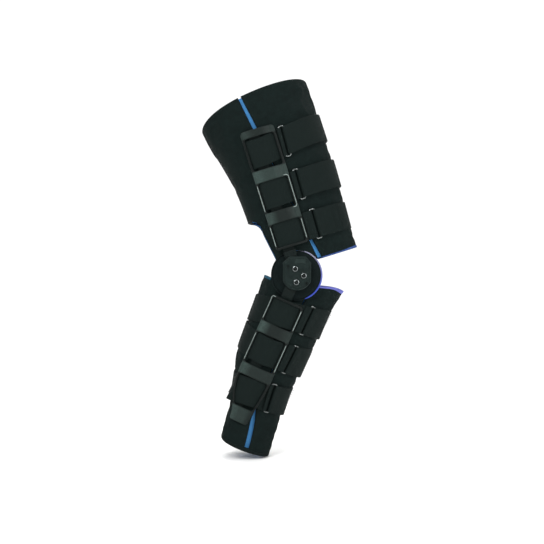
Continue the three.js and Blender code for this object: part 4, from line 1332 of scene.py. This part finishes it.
def add_slider(side, out):
    """The lock slider: a sleeve round the upper arm and a grooved thumb ridge below the cover's face."""
    node = f"{side}_lock_slider"
    arm_near, arm_far = 66.6, 69.1
    parts = []

    def block(x0, x1, z0, z1, near, far):
        start = len(parts)
        for distance in (near, far):
            parts.extend(THIGH.to_row((x, out * distance, z)) for x, z in ((x0, z0), (x1, z0), (x1, z1), (x0, z1)))
        quads = [(3, 2, 1, 0), (4, 5, 6, 7), (0, 1, 5, 4), (1, 2, 6, 5), (2, 3, 7, 6), (3, 0, 4, 7)]
        return [tuple(start + q for q in (quad[::-1] if out < 0 else quad)) for quad in quads]

    edge = ARM_WIDTH / 2
    faces = []
    for sign in (-1, 1):
        inside, outside = sorted((sign * (edge + 0.3), sign * (edge + 1.3)))
        faces += block(inside, outside, 33, 41, arm_near - 1.3, arm_far + 1.3)
    faces += block(-edge - 0.35, edge + 0.35, 33, 41, arm_near - 1.3, arm_near - 0.3)
    faces += block(-edge - 0.35, edge + 0.35, 33, 41, arm_far + 0.3, arm_far + 1.3)
    faces += block(-3, 3, 22, 36, 70.4, 72.9)
    faces += block(-edge - 0.2, edge + 0.2, 30, 40, 70.4, 72.4)
    for z in np.arange(31.2, 40, 2.1):
        faces += block(-edge + 1, edge - 1, z - 0.55, z + 0.55, 72.3, 73.5)
    piece = mesh_object(f"{side}_lock_thumb", parts, faces, smooth=False)
    add_modifier(piece, "BEVEL", width=0.25 * MM, segments=2, limit_method="ANGLE")
    finish_piece(piece, node, "slider_plastic", DIAL_PLASTIC, replaces=[node])


def add_screw(side, out, number):
    """A dark button-head screw with a bright rolled rim round its hexagon socket."""
    node = f"{side}_dial_screw_{number}"
    near, far = faces_of(node, out)
    face = faces_of(f"{side}_dial_cover", out)[1] + 0.05
    head = far - face
    low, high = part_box(node)
    wide = (high.x - low.x) / 2 / MM
    dome = [(wide, 0.0), (wide, 0.5), (wide - 0.25, 0.9), (wide - 0.8, 1.0), (wide - 1.2, 0.8), (wide - 1.45, 0.55),
            (wide - 1.6, 0.8), (wide - 1.8, 0.95)]
    profile = [(1.4, near - face), (1.4, 0.0), *[(r, d * head) for r, d in dome]]
    segments = 48
    turns = np.linspace(0, 2 * math.pi, segments, endpoint=False)
    rings = [[(radius * math.cos(t), distance, radius * math.sin(t)) for t in turns] for radius, distance in profile]
    for depth, share in ((0.95, 1.0), (0.4, 0.97), (0.4, 0.3)):
        reach = [1.3 * share / math.cos((t + math.pi / 6) % (math.pi / 3) - math.pi / 6) for t in turns]
        rings.append([(r * math.cos(t), depth * head, r * math.sin(t)) for r, t in zip(reach, turns)])
    at = middle(node)
    points = [(at.x + x * MM, out * (face + d) * MM, at.z + z * MM) for points in rings for x, d, z in points]
    faces = []
    for k in range(len(rings) - 1):
        for m in range(segments):
            a, b = k * segments + m, k * segments + (m + 1) % segments
            quad = (a, b, b + segments, a + segments)
            faces.append(quad if out > 0 else quad[::-1])
    bottom, top = tuple(range(segments)), tuple(range((len(rings) - 1) * segments, len(rings) * segments))
    faces.append(bottom[::-1] if out > 0 else bottom)
    faces.append(top if out > 0 else top[::-1])
    piece = mesh_object(f"{side}_button_screw_{number}", points, faces)
    piece.data.set_sharp_from_angle(angle=math.radians(50))
    for material in (DARK_STEEL, STEEL):
        piece.data.materials.append(material)
    for polygon in piece.data.polygons:
        spread = math.hypot(polygon.center.x - at.x, polygon.center.z - at.z) / MM
        polygon.material_index = int(wide - 1.35 < spread < wide - 0.45)
    finish_piece(piece, "thigh", "screw_steel", replaces=[node])


def add_stop_pin(side, out, kind):
    """A pull pin with a knurled head."""
    node = f"{side}_{kind}_stop_pin"
    near, far = faces_of(node, out)
    face = faces_of(f"{side}_dial_cover", out)[1] + 0.25
    profile = [(0.9, near - face), (1.2, near - face + 0.4), (1.2, 0), (1.9, 0), (2.1, 0.25),
               (2.1, far - face - 0.5), (1.7, far - face), (0.8, far - face - 0.15)]
    segments = 40
    piece = lathe(f"{side}_{kind}_pull_pin", profile, hinge_centre(face, out, middle(node)), out, segments)
    points = coordinates(piece)
    at = middle(node)
    away = points[:, [0, 2]] - np.array([at.x, at.z])
    on_head = (out * points[:, 1] > face * MM) & (np.linalg.norm(away, axis=1) > 1.95 * MM)
    ridge = np.arange(len(points)) % 2 * 0.93 + (1 - np.arange(len(points)) % 2)
    away[on_head] *= ridge[on_head, None]
    points[:, 0], points[:, 2] = away[:, 0] + at.x, away[:, 1] + at.z
    piece.data.vertices.foreach_set("co", points.ravel())
    finish_piece(piece, node, "black_metal", BLACK_METAL, replaces=[node])


def add_bevel(node, width, *materials):
    """Keeps a CAD node, softens its edges and gives it a material."""
    piece = frame["nodes"][node]
    piece.data.materials.clear()
    for material in materials:
        piece.data.materials.append(material)
    add_modifier(piece, "BEVEL", width=width * MM, segments=3, limit_method="ANGLE",
                 angle_limit=math.radians(40), harden_normals=True)
    piece.data.polygons.foreach_set("use_smooth", [True] * len(piece.data.polygons))
    piece.data.set_sharp_from_angle(angle=math.radians(40))


def add_hinge(side, out):
    add_pad(side, out)
    add_cover(side, out)
    for number in (1, 2, 3):
        add_screw(side, out, number)
    for kind in ("extension", "flexion"):
        add_stop_pin(side, out, kind)
    add_slider(side, out)
    add_bevel(f"{side}_upper_arm", 0.5, BLACK_METAL)
    add_bevel(f"{side}_lower_arm", 0.5, BLACK_METAL)
    add_bevel(f"{side}_hinge_base", 0.4, DIAL_PLASTIC)
    add_bevel(f"{side}_pivot_hub", 0.2, STEEL)
    add_bevel(f"{side}_inner_washer", 0.1, DIAL_PLASTIC)
    add_bevel(f"{side}_outer_washer", 0.1, DIAL_PLASTIC)


# ---- Stage, light and camera -------------------------------------------------------------------


def fade_to_white(shader):
    """Turns the floor to plain white away from the object, for the camera only."""
    distance = shader.node("ShaderNodeVectorMath", operation="LENGTH")
    shader.link(shader.place.outputs["Object"], distance.inputs[0])
    far = shader.ramp(distance.outputs["Value"], 0.45, 0.9, 0, 1)
    seen = shader.node("ShaderNodeLightPath")
    white = shader.node("ShaderNodeEmission", Strength=1.1)
    mix = shader.node("ShaderNodeMixShader")
    shader.link(shader.math("MULTIPLY", far, seen.outputs["Is Camera Ray"]), mix.inputs[0])
    shader.link(shader.main.outputs[0], mix.inputs[1])
    shader.link(white.outputs[0], mix.inputs[2])
    shader.link(mix.outputs[0], shader.tree.nodes["Material Output"].inputs["Surface"])


def add_stage():
    low, high = CAD_BOX
    floor_at = low.z - 0.002
    depth, height, sweep = 1.6, 3.0, 0.8
    profile = [(-3.0, floor_at)]
    profile += [(depth - sweep + sweep * math.sin(t), floor_at + sweep - sweep * math.cos(t))
                for t in np.linspace(0, math.pi / 2, 16)]
    profile += [(depth, floor_at + height)]
    points = [(x, y, z) for x in (-4.0, 4.0) for y, z in profile]
    count = len(profile)
    floor = mesh_object("floor", points, [(i, i + 1, count + i + 1, count + i) for i in range(count - 1)])
    s = Shader("floor_paper", "f6f6f5", 0.9)
    s.bump(s.texture("ShaderNodeTexNoise", 3), 0.05, 0.3)
    fade_to_white(s)
    floor.data.materials.append(s.material)


def add_light(name, place, target, size, power):
    light = bpy.data.lights.new(name, "AREA")
    light.shape = "RECTANGLE"
    light.size, light.size_y = size
    light.energy = power
    lamp = bpy.data.objects.new(name, light)
    lamp.location = place
    lamp.rotation_euler = (Vector(target) - Vector(place)).to_track_quat("-Z", "Y").to_euler()
    bpy.context.scene.collection.objects.link(lamp)


def add_camera():
    """Level with the knee and a little behind it, looking straight across the leg."""
    camera = bpy.data.objects.new("camera", bpy.data.cameras.new("camera"))
    distance = 1.5
    camera.location = (-0.040, KNEE_MIDDLE * MM - distance, 0.005)
    camera.rotation_euler = (math.pi / 2, 0, 0)
    camera.data.angle = math.radians(34.0)
    bpy.context.scene.collection.objects.link(camera)
    bpy.context.scene.camera = camera


def add_world():
    world = bpy.data.worlds.new("studio")
    world.use_nodes = True
    nodes, links = world.node_tree.nodes, world.node_tree.links
    seen = nodes.new("ShaderNodeLightPath")
    strength = nodes.new("ShaderNodeMapRange")
    strength.inputs["To Min"].default_value = 0.55  # as a light
    strength.inputs["To Max"].default_value = 1.1  # as the camera's backdrop
    links.new(seen.outputs["Is Camera Ray"], strength.inputs["Value"])
    background = nodes["Background"]
    background.inputs["Color"].default_value = (1, 1, 1, 1)
    links.new(strength.outputs["Result"], background.inputs["Strength"])
    bpy.context.scene.world = world
    bpy.context.scene.view_settings.view_transform = "Standard"


for leg in LEGS.values():
    add_wraps(leg)
    for number, strap in enumerate(STRAPS[leg.body], 1):
        front_strap(leg, number, strap)
        ring_strap(leg, number, strap)
        ring(leg, number, strap)
    for side, sign in SIDES.items():
        add_frame(leg, side, sign)
add_bindings()
for side, out in SIDES.items():
    add_hinge(side, out)
add_stage()
add_light("key", (-0.9, -1.7, 1.3), (0, 0, 0), (1.2, 1.2), 45)
add_light("fill", (1.3, -1.2, 0.5), (0, 0, 0), (1.0, 1.4), 22)
add_light("top", (0.1, 0.3, 1.8), (0, 0, 0), (1.6, 1.6), 28)
add_camera()
add_world()
